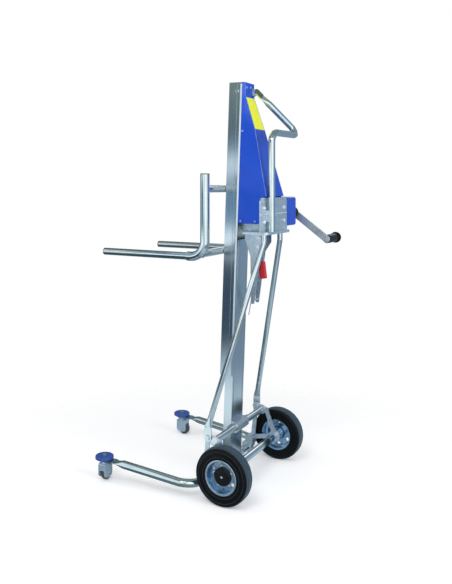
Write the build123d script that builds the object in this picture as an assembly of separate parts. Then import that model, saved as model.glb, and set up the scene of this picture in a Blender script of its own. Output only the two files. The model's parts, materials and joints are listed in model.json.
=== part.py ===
from build123d import *
import math
import os

os.makedirs("parts", exist_ok=True)

# Manual stacker: two legs on casters, a rear axle, a leaning mast with a hand winch behind it,
# and a lifting frame of two L-shaped fork tubes that slides up and down the mast.
# Millimetres.  X runs across, towards the machine's left; the forks point to -Y; Z is up.
# Everything is drawn with the rear axle at y = 0 and the mid-plane at x = 0.  At the end it is
# all moved so that the origin lies on the floor under the middle of the outline.

# Clearances and small common sizes
run_gap = 0.05
seat_gap = 0.3
overrun = 20.0
sheet = 3.0
plate = 5.0

# Rear wheels and axle
wheel_radius = 100.0
tyre_width = 50.0
wheel_track = 469.0
rim_radius = 58.0
rim_wall = 3.0
rim_lip = 4.0
hub_radius = 19.0
hub_cap_radius = 31.0
axle_radius = 10.0
axle_tube_radius = 13.5
axle_tube_length = 330.0
axle_nut_radius = 15.0
axle_nut_length = 5.0

# Side brackets that join axle, cross tube and legs
bracket_outer_x = 200.0
bracket_bar = 17.0
bracket_top_y = -82.0
bracket_rear_y = -36.0
bracket_top_z = 198.0
bracket_front_y = -94.0
bracket_front_z = 80.0
bracket_boss = 22.0
bracket_tube_boss = 18.0
bracket_small_boss = 15.0
frame_bolt_radius = 5.0
bolt_head_radius = 8.5
bolt_head_height = 5.0

# Leg tube, one piece bent round under the mast
leg_radius = 14.5
leg_wall = 2.5
leg_rear_x = 258.0
leg_rear_y = -104.0
leg_rear_z = 48.0
leg_front_x = 276.0
leg_front_z = 75.5
leg_bend = 72.0
caster_y = -478.0
leg_tab_length = 52.0
leg_tab_width = 36.0
leg_tab_thickness = 6.0

# Casters and bumper discs
caster_radius = 25.0
caster_width = 18.0
caster_trail = 12.0
caster_gap = 1.5
caster_hood_width = 32.0
caster_hood_front = 17.0
caster_hood_rear = 27.0
caster_neck_radius = 16.0
caster_neck_height = 9.0
caster_window = 13.0
caster_axle_radius = 3.0
caster_pin_radius = 5.0
bumper_radius = 34.0
bumper_height = 13.0
bumper_edge = 4.0

# Mast: two nested aluminium profiles that lean back
mast_lean = 2.1
mast_rear_y = -76.0
lower_width = 93.4
lower_depth = 32.0
lower_wall = 2.5
mast_bevel_x = 2.0
mast_bevel_y = 6.0
lower_groove_x = 36.0
lower_groove_width = 5.0
lower_groove_depth = 1.2
lower_foot_z = 72.0
lower_top = 890.0
upper_width = 100.0
upper_depth = 51.5
upper_wall = 3.0
upper_bottom = 385.0
upper_top = 1465.0
slot_width = 34.0
groove_width = 4.0
groove_depth = 1.2
groove_back = 17.0
pulley_window = 70.0
cap_height = 6.0
cap_lip = 10.0

# Cross tube behind the mast, and the foot under it
cross_tube_radius = 12.5
cross_tube_z = 196.0
cross_tube_wall = 2.0
saddle_width = 88.0
saddle_height = 40.0
saddle_wall = 4.0
wing_x = 86.0
wing_low = 9.0
foot_width = 112.0
foot_front = 16.0
foot_rear = 8.0
foot_block_width = 70.0
leg_clamp_inner_x = 158.0
leg_clamp_width = 22.0
leg_clamp_wall = 5.0

# Braces from the winch tray to the side brackets
brace_radius = 10.0
brace_top_x = 72.0
brace_top_y = 76.0
brace_knee = 34.0
brace_bend = 30.0
brace_foot_y = -80.0
brace_foot_top = 242.0
brace_tab_length = 50.0
brace_tab_width = 28.0
brace_tab_thickness = 5.0
flatten_length = 34.0

# Winch tray and frame
tray_z = 921.0
tray_sheet = 4.0
tray_half_width = 105.0
tray_rear_y = 106.0
tray_front_y = -2.0
tray_flange = 5.0
tray_corner = 16.0
plate_half_width = 120.0
plate_front_y = 80.0
plate_top_z = 1047.0
plate_corner = 12.0
rib_z = 988.0
rib_radius = 3.5
cheek_play = 1.5
cheek_sheet = 4.0
cradle_height = 40.0
cradle_low_z = 962.0
winch_bolt_x = 88.0
winch_bolt_low_z = 960.0
winch_bolt_high_z = 1010.0
winch_bolt_radius = 4.0
winch_bolt_head = 7.0
winch_bolt_height = 4.5

# Winch: drum, gears, crank
gear_module = 2.0
drum_teeth = 33
pinion_teeth = 12
gear_width = 10.0
gear_play = 0.35
crank_y = 66.0
crank_z = 986.0
drum_rise = 22.4
shaft_radius = 8.0
drum_core_radius = 20.0
shaft_hole_gap = 3.0
drum_flange_radius = 39.0
drum_flange = 3.0
strap_width = 26.0
strap_thickness = 1.5
strap_play = 1.0
coil_radius = 34.0
housing_length = 85.0
housing_front_y = -18.0
housing_rear_y = 87.0
housing_wall = 3.0
housing_bottom_z = 937.0
housing_corner = 9.0
flute_radius = 5.0
flute_depth = 2.0
bush_radius = 22.0
bush_length = 24.0
arm_width = 28.0
arm_thickness = 7.0
arm_boss_radius = 15.0
arm_boss_length = 6.0
crank_reach_y = 136.0
crank_drop_z = 102.0
grip_pin_radius = 6.0
sleeve_radius = 13.0
sleeve_length = 84.0
knob_radius = 22.0
knob_centre = 107.0

# Belt cover: a flared wedge behind the upper mast
cover_sheet = 1.5
cover_bottom_z = 952.0
cover_over = 6.0
cover_hood = 50.0
cover_flare_drop = 181.0
cover_plate_gap = 4.0
cover_top_y = -14.0
cover_flare_y = 29.0
cover_end_y = 88.0
cover_top_half = 37.0
cover_flare_half = 44.0
cover_end_half = 79.0

# Handle tube
handle_radius = 12.5
handle_wall = 2.0
handle_x = 60.0
handle_bar_z = 1281.0
handle_corner_x = -160.0
handle_corner_y = 120.0
handle_end_x = -30.0
handle_end_y = 3.0
handle_end_z = 1440.0
handle_bend = 38.0
handle_corner_bend = 26.0
handle_tab_length = 26.0
handle_tab_thickness = 5.0
clip_width = 26.0
clip_height = 26.0
clip_sheet = 4.0
clip_bolt_radius = 4.0

# Top pulley
pulley_radius = 22.0
pulley_flange_radius = 26.0
pulley_flange = 1.5
pulley_depth = 20.0
pulley_drop = 28.0
pulley_pin_radius = 5.0
pulley_pin_head = 8.0
pulley_pin_head_height = 3.0

# Lifting frame
fork_radius = 13.5
fork_wall = 2.5
sleeve_radius = 16.8
sleeve_wall = 3.4
sleeve_end_y = -170.0
fork_x = 190.0
fork_y = -99.0
fork_z = 837.0
fork_tip_y = -540.0
fork_top_z = 1130.0
fork_bend = 57.0
tube_front_gap = 1.5
tube_low_z = 848.0
tube_high_z = 1079.0
bar_thickness = 8.0
bar_width = 70.0
bar_over = 56.0
stem_width = 28.0
stem_height = 34.0
glide_length = 44.0
glide_inner = 28.0
plug_flange = 3.0
plug_depth = 16.0

# Release catch under the tray
catch_half_width = 22.0
catch_front_gap = 19.0
catch_sheet = 3.0
catch_tail_z = 655.0
catch_block_y = 34.0
catch_block_z = 898.0
catch_block_radius = 15.0
catch_pin_radius = 4.0
lever_pivot_y = 31.0
lever_pivot_z = 865.0
lever_thickness = 6.0
lever_width = 18.0
lever_grip_top_y = 34.0
lever_grip_top_z = 810.0
lever_grip_end_y = 42.0
lever_grip_end_z = 748.0
grip_width = 26.0
grip_depth = 15.0
spring_wire = 1.5
spring_radius = 7.0
spring_length = 9.0

# Worked-out sizes
wheel_x = wheel_track / 2
lean = math.radians(mast_lean)
caster_top_z = leg_front_z - leg_tab_thickness / 2
bumper_base_z = leg_front_z + leg_tab_thickness / 2
bracket_inner_x = bracket_outer_x - plate
plate_rear_y = plate_front_y + plate
cover_top_z = upper_top + cover_over
cover_slope_z = cover_top_z - cover_hood
cover_flare_z = cover_top_z - cover_flare_drop
cover_end_z = plate_top_z + cover_plate_gap
tray_top_z = tray_z + tray_sheet
handle_bottom_z = tray_top_z + seat_gap
web_back = -(lower_depth + seat_gap)
web_front = web_back - upper_wall
lip_back = -(upper_depth - upper_wall)
gear_centres = gear_module * (drum_teeth + pinion_teeth) / 2
drum_y = crank_y - math.sqrt(gear_centres**2 - drum_rise**2)
drum_z = crank_z + drum_rise
housing_inner_x = -plate_half_width
housing_outer_x = housing_inner_x - housing_length
gear_x = (housing_inner_x + housing_outer_x) / 2
arm_x = housing_outer_x - bush_length - arm_thickness / 2
handle_y = cover_end_y + handle_radius + seat_gap
cheek_half_gap = strap_width / 2 + strap_play + drum_flange + cheek_play
strap_radius = pulley_radius + seat_gap + strap_thickness / 2
strap_line = -(pulley_depth + strap_radius)
pulley_height = upper_top - pulley_drop
clamp_outer_x = leg_clamp_inner_x + leg_clamp_width
centre_x = (leg_front_x + bumper_radius + arm_x - knob_centre - knob_radius) / 2
front_reach_y = min(caster_y - bumper_radius, fork_tip_y - plug_flange)
centre_y = (front_reach_y + crank_y + crank_reach_y + knob_radius) / 2


def mast_point(back, up):
    """World y and z of a place given in the leaning mast's own directions."""
    y = mast_rear_y + back * math.cos(lean) + up * math.sin(lean)
    z = up * math.cos(lean) - back * math.sin(lean)
    return y, z


def mast_face_y(back, z):
    """World y of a plane parallel to the mast's rear face, at world height z."""
    return mast_rear_y + back / math.cos(lean) + z * math.tan(lean)


mast_frame = Location((0, mast_rear_y, 0), (-mast_lean, 0, 0))
cross_tube_y = mast_face_y(cross_tube_radius + seat_gap, cross_tube_z)
tube_low_y = mast_face_y(-(upper_depth + tube_front_gap + fork_radius), tube_low_z)
tube_high_y = mast_face_y(-(upper_depth + tube_front_gap + fork_radius), tube_high_z)
pulley_y, pulley_z = mast_point(-pulley_depth, pulley_height)


def block(x_low, x_high, y_low, y_high, z_low, z_high):
    box = Box(x_high - x_low, y_high - y_low, z_high - z_low)
    return Pos((x_low + x_high) / 2, (y_low + y_high) / 2, (z_low + z_high) / 2) * box


def side_plane(x, y=0.0, z=0.0):
    """A sketch plane seen from the machine's left: its x is world Y, its y is world Z."""
    return Plane(origin=(x, y, z), x_dir=(0, 1, 0), z_dir=(1, 0, 0))


def rod_x(radius, x_low, x_high, y, z):
    return extrude(side_plane(x_low, y, z) * Circle(radius), amount=x_high - x_low)


def tube_x(radius, bore, x_low, x_high, y, z):
    return rod_x(radius, x_low, x_high, y, z) - rod_x(bore, x_low, x_high, y, z)


def rod_z(radius, z_low, z_high, x, y):
    return extrude(Plane((x, y, z_low)) * Circle(radius), amount=z_high - z_low)


def swept_tube(points, radii, radius, wall):
    path = FilletPolyline(*points, radius=radii)
    section = Plane(origin=path @ 0, z_dir=path % 0) * (Circle(radius) - Circle(radius - wall))
    return sweep(section, path=path)


def flattened_end(start, end, radius, tab_plane, tab_width, tab_thickness):
    """A tube end squashed from round to flat, between two points."""
    direction = Vector(*end) - Vector(*start)
    round_end = Plane(origin=start, x_dir=tab_plane, z_dir=direction) * Circle(radius)
    flat = Ellipse(tab_width / 2, tab_thickness / 2)
    flat_end = Plane(origin=end, x_dir=tab_plane, z_dir=direction) * flat
    return loft([round_end, flat_end])


def hex_bolt_x(x_head, x_tail, y, z, radius, head, height):
    """A bolt along X with a hexagonal head at x_head and a nut at x_tail."""
    away = 1 if x_head > x_tail else -1
    shank = rod_x(radius, min(x_head, x_tail), max(x_head, x_tail), y, z)
    hexagon = RegularPolygon(head, side_count=6)
    top = extrude(side_plane(x_head, y, z) * hexagon, amount=height * away)
    nut = extrude(side_plane(x_tail, y, z) * hexagon, amount=-height * away)
    return shank + top + nut


def hex_bolt_y(x, y_head, y_tail, z, radius, head, height):
    """A bolt along Y with a domed head at y_head, behind, and a nut at y_tail."""
    facing = Plane(origin=(x, y_tail, z), x_dir=(1, 0, 0), z_dir=(0, 1, 0))
    shank = extrude(facing * Circle(radius), amount=y_head - y_tail)
    nut = extrude(facing * RegularPolygon(head, side_count=6), amount=-height)
    outer = Plane(origin=(x, y_head, z), x_dir=(1, 0, 0), z_dir=(0, 1, 0))
    top = extrude(outer * Circle(head), amount=height)
    return shank + nut + fillet(top.faces().sort_by(Axis.Y)[-1].edges(), height / 2)


def mirrored(shape):
    return mirror(shape, about=Plane.YZ)


# Frame


def make_leg_tube():
    front_y = caster_y + leg_tab_length
    start = Vector(leg_front_x, front_y, leg_front_z)
    corner = Vector(leg_rear_x, leg_rear_y, leg_rear_z)
    lead = start + (corner - start).normalized() * flatten_length
    points = [
        (-lead.X, lead.Y, lead.Z),
        (-corner.X, corner.Y, corner.Z),
        (corner.X, corner.Y, corner.Z),
        (lead.X, lead.Y, lead.Z),
    ]
    tube = swept_tube(points, leg_bend, leg_radius, leg_wall)
    cone = flattened_end(
        tuple(lead), tuple(start), leg_radius, (1, 0, 0), leg_tab_width, leg_tab_thickness
    )
    tab_sketch = Pos(leg_front_x, (front_y + caster_y) / 2) * Rectangle(
        leg_tab_width, front_y - caster_y
    )
    tab_sketch += Pos(leg_front_x, caster_y) * Circle(leg_tab_width / 2)
    tab = extrude(Pos(0, 0, caster_top_z) * tab_sketch, amount=leg_tab_thickness)
    tab -= rod_z(caster_pin_radius + run_gap, 0, leg_front_z + overrun, leg_front_x, caster_y)
    end = cone + tab
    return tube + end + mirrored(end)


def bracket_outline():
    centre_line = Polygon(
        (bracket_top_y, bracket_top_z),
        (bracket_front_y, bracket_front_z),
        (0, wheel_radius),
        (bracket_rear_y, bracket_top_z),
        align=None,
    )
    outer = offset(centre_line, amount=bracket_bar / 2)
    inner = offset(centre_line, amount=-bracket_bar / 2)
    inner = fillet(inner.vertices(), bracket_bar / 3)
    outer += Pos(cross_tube_y, cross_tube_z) * Circle(bracket_tube_boss)
    outer += Pos(0, wheel_radius) * Circle(bracket_boss)
    outer += Pos(bracket_front_y, bracket_front_z) * Circle(bracket_small_boss)
    outer += Pos(brace_foot_y, bracket_top_z + bracket_small_boss / 2) * Circle(bracket_small_boss)
    inner -= Pos(cross_tube_y, cross_tube_z) * Circle(bracket_tube_boss)
    inner -= Pos(0, wheel_radius) * Circle(bracket_boss)
    return outer - inner


def make_side_bracket():
    bracket = extrude(side_plane(bracket_inner_x) * bracket_outline(), amount=plate)
    x_low = bracket_inner_x - overrun
    x_high = bracket_outer_x + overrun
    bracket -= rod_x(cross_tube_radius + run_gap, x_low, x_high, cross_tube_y, cross_tube_z)
    bracket -= rod_x(axle_radius + run_gap, x_low, x_high, 0, wheel_radius)
    bracket -= rod_x(frame_bolt_radius + run_gap, x_low, x_high, bracket_front_y, bracket_front_z)
    bolt_z = bracket_top_z + bracket_small_boss / 2
    return bracket - rod_x(frame_bolt_radius + run_gap, x_low, x_high, brace_foot_y, bolt_z)


def make_axle_rod():
    end = wheel_x + axle_nut_length
    rod = rod_x(axle_radius, -end, end, 0, wheel_radius)
    nut = rod_x(axle_nut_radius, wheel_x + seat_gap, end, 0, wheel_radius)
    return rod + nut + mirrored(nut)


def make_axle_tube():
    half = axle_tube_length / 2
    bore = axle_radius + run_gap
    collar_radius = (axle_radius + axle_tube_radius) / 2
    spacer = tube_x(collar_radius, bore, -bracket_inner_x, bracket_inner_x, 0, wheel_radius)
    return spacer + tube_x(axle_tube_radius, bore, -half, half, 0, wheel_radius)


def make_cross_tube():
    bore = cross_tube_radius - cross_tube_wall
    end = bracket_outer_x
    return tube_x(cross_tube_radius, bore, -end, end, cross_tube_y, cross_tube_z)


def make_mast_saddle():
    depth = 2 * cross_tube_radius + saddle_wall
    body = block(
        -saddle_width / 2,
        saddle_width / 2,
        0,
        depth,
        cross_tube_z - saddle_height / 2,
        cross_tube_z + saddle_height / 2,
    )
    rear = body.faces().sort_by(Axis.Y)[-1]
    body = chamfer(rear.edges().filter_by(Axis.X), saddle_height / 4)
    half_height = saddle_height / 2
    wing = Polygon(
        (0, cross_tube_z - half_height),
        (wing_x, cross_tube_z - wing_low),
        (wing_x, cross_tube_z + wing_low),
        (0, cross_tube_z + half_height),
        align=None,
    )
    wing += mirror(wing, about=Plane.YZ)
    facing = Plane(origin=(0, saddle_wall, 0), x_dir=(1, 0, 0), z_dir=(0, -1, 0))
    body += extrude(facing * wing, amount=saddle_wall)
    bore = rod_x(cross_tube_radius + run_gap, -wheel_x, wheel_x, cross_tube_y, cross_tube_z)
    return mast_frame * body - bore


def make_mast_foot():
    front = mast_face_y(-lower_depth, lower_foot_z) - foot_front
    rear = mast_face_y(0, lower_foot_z) + foot_rear
    base = block(
        -foot_width / 2, foot_width / 2, front, rear, lower_foot_z - plate, lower_foot_z
    )
    base = fillet(base.edges().filter_by(Axis.Z), plate)
    saddle_front = leg_rear_y - leg_radius - plate / 2
    saddle = block(
        -foot_block_width / 2,
        foot_block_width / 2,
        saddle_front,
        rear - foot_rear,
        leg_rear_z - leg_radius / 2,
        lower_foot_z - plate,
    )
    bore = rod_x(leg_radius + run_gap, -foot_width, foot_width, leg_rear_y, leg_rear_z)
    return base + saddle - bore


def make_leg_clamps():
    top = bracket_front_z + bracket_small_boss
    body = block(
        leg_clamp_inner_x,
        clamp_outer_x,
        leg_rear_y - leg_radius - leg_clamp_wall,
        leg_rear_y + leg_radius + leg_clamp_wall,
        leg_rear_z - leg_radius - leg_clamp_wall,
        leg_rear_z + leg_radius + leg_clamp_wall,
    )
    body = fillet(body.edges().filter_by(Axis.X), leg_clamp_wall)
    body -= rod_x(leg_radius + run_gap, 0, wheel_x, leg_rear_y, leg_rear_z)
    ear_low = leg_rear_z + leg_radius + 2 * seat_gap
    ear = block(
        leg_clamp_inner_x,
        bracket_inner_x,
        bracket_front_y - bracket_small_boss,
        bracket_front_y + bracket_small_boss,
        ear_low,
        top,
    )
    ear = fillet(ear.edges().filter_by(Axis.X).group_by(Axis.Z)[-1], bracket_small_boss / 2)
    clamp = body + ear
    clamp -= rod_x(frame_bolt_radius + run_gap, 0, wheel_x, bracket_front_y, bracket_front_z)
    return clamp + mirrored(clamp)


def make_lower_mast():
    outer = Rectangle(lower_width, lower_depth)
    inner = Rectangle(lower_width - 2 * lower_wall, lower_depth - 2 * lower_wall)
    web = Rectangle(lower_wall, lower_depth)
    section = Pos(0, -lower_depth / 2) * (outer - inner + web)
    for x in (-lower_groove_x, lower_groove_x):
        section -= Pos(x, 0) * Rectangle(lower_groove_width, 2 * lower_groove_depth)
    profile = mast_frame * extrude(section, amount=lower_top)
    low = block(-upper_width, upper_width, leg_rear_y * 2, 0, -overrun, lower_foot_z)
    return profile - low


def upper_section():
    half = upper_width / 2
    section = Pos(0, -upper_depth / 2) * Rectangle(upper_width, upper_depth)
    inner_width = upper_width - 2 * upper_wall
    section -= Pos(0, web_back / 2) * Rectangle(inner_width, -web_back)
    chamber = web_front - lip_back
    section -= Pos(0, lip_back + chamber / 2) * Rectangle(inner_width, chamber)
    section -= Pos(0, -upper_depth) * Rectangle(slot_width, 3 * upper_wall)
    for side in (-half, half):
        groove = Rectangle(2 * groove_depth, groove_width)
        section -= Pos(side, -groove_back) * groove
    bevel = Polygon((half, 0), (half - mast_bevel_x, 0), (half, -mast_bevel_y), align=None)
    return section - bevel - mirror(bevel, about=Plane.YZ)


def make_upper_mast():
    profile = extrude(Pos(0, 0, upper_bottom) * upper_section(), amount=upper_top - upper_bottom)
    window = block(
        -strap_width / 2 - 3 * strap_play,
        strap_width / 2 + 3 * strap_play,
        web_front - strap_play,
        web_back + strap_play,
        upper_top - pulley_window,
        upper_top + overrun,
    )
    mast = mast_frame * (profile - window)
    return mast - rod_x(pulley_pin_radius + run_gap, -upper_width, upper_width, pulley_y, pulley_z)


def make_mast_cap():
    lid = Pos(0, -upper_depth / 2, upper_top + cap_height / 2) * Box(
        upper_width, upper_depth, cap_height
    )
    lid = fillet(lid.faces().sort_by(Axis.Z)[-1].edges(), cap_height / 3)
    inner_width = upper_width - 2 * upper_wall - 2 * seat_gap
    tongue = block(
        -inner_width / 2,
        inner_width / 2,
        web_back + seat_gap,
        -upper_wall,
        upper_top - cap_lip,
        upper_top,
    )
    relief = rod_x(
        pulley_flange_radius + 2 * strap_play,
        -strap_width / 2 - 4 * strap_play,
        strap_width / 2 + 4 * strap_play,
        -pulley_depth,
        pulley_height,
    )
    return mast_frame * (lid + tongue - relief)


def make_brace(side):
    """One brace; side is 1 for the left and -1 for the right."""
    top = (side * brace_top_x, brace_top_y, tray_z)
    knee = (side * brace_top_x, brace_top_y, tray_z - brace_knee)
    foot_x = side * (bracket_outer_x + brace_tab_thickness / 2)
    foot = Vector(foot_x, brace_foot_y, brace_foot_top)
    lead = foot + (Vector(*knee) - foot).normalized() * flatten_length
    tube = swept_tube([top, knee, tuple(lead)], brace_bend, brace_radius, leg_wall)
    cone = flattened_end(
        tuple(lead),
        tuple(foot),
        brace_radius,
        (0, 1, 0),
        brace_tab_width,
        brace_tab_thickness,
    )
    tab_low = brace_foot_top - brace_tab_length + brace_tab_width / 2
    tab_sketch = Pos(brace_foot_y, (brace_foot_top + tab_low) / 2) * Rectangle(
        brace_tab_width, brace_foot_top - tab_low
    )
    tab_sketch += Pos(brace_foot_y, tab_low) * Circle(brace_tab_width / 2)
    tab = extrude(side_plane(foot_x) * tab_sketch, amount=brace_tab_thickness / 2, both=True)
    bolt_z = bracket_top_z + bracket_small_boss / 2
    hole = rod_x(frame_bolt_radius + run_gap, -wheel_x, wheel_x, brace_foot_y, bolt_z)
    return tube + cone + tab - hole


def make_frame_bolts():
    bolt_z = bracket_top_z + bracket_small_boss / 2
    foot = hex_bolt_x(
        bracket_outer_x + brace_tab_thickness,
        bracket_inner_x,
        brace_foot_y,
        bolt_z,
        frame_bolt_radius,
        bolt_head_radius,
        bolt_head_height,
    )
    clamp = hex_bolt_x(
        bracket_outer_x,
        leg_clamp_inner_x,
        bracket_front_y,
        bracket_front_z,
        frame_bolt_radius,
        bolt_head_radius,
        bolt_head_height / 2,
    )
    pair = foot + clamp
    return pair + mirrored(pair)


# Rear wheels, drawn about the X axis with the outer side towards +X


def turned(points):
    return revolve(Polygon(*points, align=None), axis=Axis.X)


def make_tyre():
    half = tyre_width / 2
    bead = rim_radius + seat_gap
    shoulder = wheel_radius - wheel_radius / 40
    points = [
        (-half + rim_lip, bead),
        (-half, bead + rim_lip),
        (-half, wheel_radius - half / 2),
        (-half + rim_lip, shoulder),
        (-half / 2, wheel_radius),
        (half / 2, wheel_radius),
        (half - rim_lip, shoulder),
        (half, wheel_radius - half / 2),
        (half, bead + rim_lip),
        (half - rim_lip, bead),
    ]
    tyre = turned(points)
    groove = rim_wall / 2
    for side in (-half, half):
        for radius in (rim_radius + half / 2, wheel_radius - half / 2 - rim_lip):
            ring = Pos(side, radius) * Rectangle(groove, groove)
            tyre -= revolve(ring, axis=Axis.X)
    for offset_x in (-half / 2, half / 2):
        ring = Pos(offset_x, wheel_radius) * Rectangle(groove, groove)
        tyre -= revolve(ring, axis=Axis.X)
    return tyre


def make_rim():
    half = tyre_width / 2
    barrel = turned(
        [
            (-half, rim_radius + rim_lip / 2),
            (-half, rim_radius - rim_wall),
            (half, rim_radius - rim_wall),
            (half, rim_radius + rim_lip / 2),
            (half - rim_lip / 2, rim_radius + rim_lip / 2),
            (half - rim_lip, rim_radius),
            (-half + rim_lip, rim_radius),
            (-half + rim_lip / 2, rim_radius + rim_lip / 2),
        ]
    )
    dish_shares = ((0.1, 1.0), (0.3, 0.86), (0.3, 0.46), (0.0, 0.38), (0.0, 0.3))
    front = [(half * x, (rim_radius - rim_wall / 2) * r) for x, r in dish_shares]
    back = [(x - rim_wall, r) for x, r in reversed(front)]
    dish = turned(front + back)
    hub = turned(
        [
            (-wheel_x + bracket_outer_x + seat_gap, hub_radius),
            (-wheel_x + bracket_outer_x + seat_gap, axle_radius + run_gap),
            (0, axle_radius + run_gap),
            (0, hub_radius),
        ]
    )
    rim = barrel + dish + hub
    hole_radius = rim_radius / 9
    for turn in range(6):
        hole = Pos(0, rim_radius * 3 / 4, 0) * Rot(0, 90, 0) * Cylinder(hole_radius, tyre_width)
        rim -= Rot(turn * 60 + 30, 0, 0) * hole
    return rim


def make_hub_cap():
    half = tyre_width / 2
    seat = half * 0.3
    face = half * 0.62
    outer = [
        (seat + seat_gap, hub_cap_radius),
        (face - rim_wall, hub_cap_radius),
        (face, hub_cap_radius - rim_wall),
        (face + rim_wall / 3, hub_cap_radius / 3),
        (face + rim_wall / 3, 0),
        (face - rim_wall, 0),
        (face - rim_wall, hub_cap_radius - rim_wall * 1.5),
        (seat + seat_gap, hub_cap_radius - rim_wall * 1.5),
    ]
    return turned(outer)


def at_wheel(shape):
    return Pos(wheel_x, 0, wheel_radius) * shape


# Casters, drawn with the swivel at x = y = 0, the wheel trailing to +Y


def make_caster_fork():
    top = caster_top_z - seat_gap
    hood_top = top - caster_neck_height
    half_width = caster_hood_width / 2
    bottom = caster_radius - caster_radius / 2
    middle_y = (caster_hood_rear - caster_hood_front) / 2
    side = Pos(middle_y, (hood_top + bottom) / 2) * Rectangle(
        caster_hood_rear + caster_hood_front, hood_top - bottom
    )
    corners = side.vertices().group_by(Axis.Y)
    side = fillet(corners[0], caster_radius / 2)
    side = fillet(side.vertices().group_by(Axis.Y)[-1], caster_radius / 4)
    hood = extrude(side_plane(-half_width) * side, amount=caster_hood_width)
    room = caster_width / 2 + caster_gap
    reach = caster_radius + caster_gap
    hood -= rod_x(reach, -room, room, caster_trail, caster_radius)
    hood -= block(-room, room, -overrun * 2, overrun * 3, 0, caster_radius + caster_window)
    neck = rod_z(caster_neck_radius, hood_top, top, 0, 0)
    fork = hood + neck
    fork -= rod_z(caster_pin_radius + run_gap, caster_radius, top + overrun, 0, 0)
    axle = rod_x(caster_axle_radius, -half_width, half_width, caster_trail, caster_radius)
    return fork + axle


def make_caster_wheel():
    half = caster_width / 2
    crown = caster_radius / 12
    wheel = turned(
        [
            (-half, caster_axle_radius + run_gap),
            (-half, caster_radius - 2 * crown),
            (-half + crown, caster_radius - crown / 2),
            (-half / 2, caster_radius),
            (half / 2, caster_radius),
            (half - crown, caster_radius - crown / 2),
            (half, caster_radius - 2 * crown),
            (half, caster_axle_radius + run_gap),
        ]
    )
    recess = turned(
        [
            (half - crown, caster_radius / 3),
            (half - crown, caster_radius * 2 / 3),
            (half + crown, caster_radius * 2 / 3),
            (half + crown, caster_radius / 3),
        ]
    )
    wheel -= recess
    wheel -= mirrored(recess)
    return Pos(0, caster_trail, caster_radius) * wheel


def at_left_caster(shape):
    return Pos(leg_front_x, caster_y, 0) * Rot(0, 0, 90) * shape


def at_right_caster(shape):
    return Pos(-leg_front_x, caster_y, 0) * shape


def make_bumper_disc():
    disc = rod_z(bumper_radius, bumper_base_z, bumper_base_z + bumper_height, 0, 0)
    disc = fillet(disc.edges().filter_by(GeomType.CIRCLE), bumper_edge)
    recess_z = bumper_base_z + bumper_height - bumper_edge / 2
    disc -= rod_z(bumper_radius / 3, recess_z, recess_z + overrun, 0, 0)
    disc -= rod_z(caster_pin_radius + run_gap, 0, recess_z + overrun, 0, 0)
    return Pos(leg_front_x, caster_y, 0) * disc


def make_caster_pin():
    head_z = bumper_base_z + bumper_height - bumper_edge / 2
    low_z = caster_top_z - seat_gap - caster_neck_height
    pin = rod_z(caster_pin_radius, low_z, head_z, 0, 0)
    pin += rod_z(bolt_head_radius, head_z, head_z + bumper_edge, 0, 0)
    return Pos(leg_front_x, caster_y, 0) * pin


# Winch


def make_winch_tray():
    depth = tray_rear_y - tray_front_y
    outline = Pos(0, (tray_rear_y + tray_front_y) / 2) * RectangleRounded(
        2 * tray_half_width, depth, tray_corner
    )
    inside = offset(outline, amount=-sheet)
    pan = extrude(Pos(0, 0, tray_z) * outline, amount=tray_sheet)
    rim = extrude(Pos(0, 0, tray_z - tray_flange) * (outline - inside), amount=tray_flange)
    notch = block(
        -catch_half_width - seat_gap,
        catch_half_width + seat_gap,
        tray_front_y - overrun,
        tray_front_y + tray_corner,
        tray_z - tray_flange - overrun,
        tray_z,
    )
    return pan + rim - notch


def make_winch_frame():
    height = plate_top_z - tray_top_z
    back_y = mast_face_y(0, plate_top_z) + cheek_sheet
    half = cheek_half_gap + cheek_sheet
    back = block(-half, half, mast_rear_y, back_y, tray_top_z, plate_top_z)
    rear_sketch = Pos(0, (tray_top_z + plate_top_z) / 2) * Rectangle(2 * plate_half_width, height)
    top_corners = rear_sketch.vertices().group_by(Axis.Y)[-1]
    rear_sketch = chamfer(top_corners, plate_corner)
    facing = Plane(origin=(0, plate_front_y, 0), x_dir=(1, 0, 0), z_dir=(0, -1, 0))
    rear = extrude(facing * rear_sketch, amount=-plate)
    frame = back + rear
    for x_low in (-half, cheek_half_gap):
        frame += block(x_low, x_low + cheek_sheet, back_y, plate_front_y, tray_top_z, plate_top_z)
    rib = rod_x(
        rib_radius, -plate_half_width + plate_corner, plate_half_width - plate_corner,
        plate_rear_y, rib_z,
    )
    frame += rib
    frame += block(
        handle_x - handle_radius - sheet,
        handle_x + handle_radius + sheet,
        plate_rear_y,
        handle_y,
        cradle_low_z,
        cradle_low_z + cradle_height,
    )
    frame -= rod_z(handle_radius + run_gap, tray_z, plate_top_z, handle_x, handle_y)
    frame -= rod_x(shaft_radius + run_gap, -plate_half_width, plate_half_width, drum_y, drum_z)
    for x in (-winch_bolt_x, winch_bolt_x):
        for z in (winch_bolt_low_z, winch_bolt_high_z):
            hole = Plane(origin=(x, plate_front_y, z), x_dir=(1, 0, 0), z_dir=(0, 1, 0))
            hole_sketch = hole * Circle(winch_bolt_radius + run_gap)
            frame -= extrude(hole_sketch, amount=overrun, both=True)
    mast_side = block(-upper_width, upper_width, -upper_depth * 2, 0, upper_bottom, upper_top)
    return frame - mast_frame * mast_side


def make_winch_bolts():
    bolts = []
    for x in (-winch_bolt_x, winch_bolt_x):
        for z in (winch_bolt_low_z, winch_bolt_high_z):
            bolt = hex_bolt_y(
                x, plate_rear_y, plate_front_y, z, winch_bolt_radius, winch_bolt_head,
                winch_bolt_height,
            )
            bolts.append(bolt)
    return Part() + bolts


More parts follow.
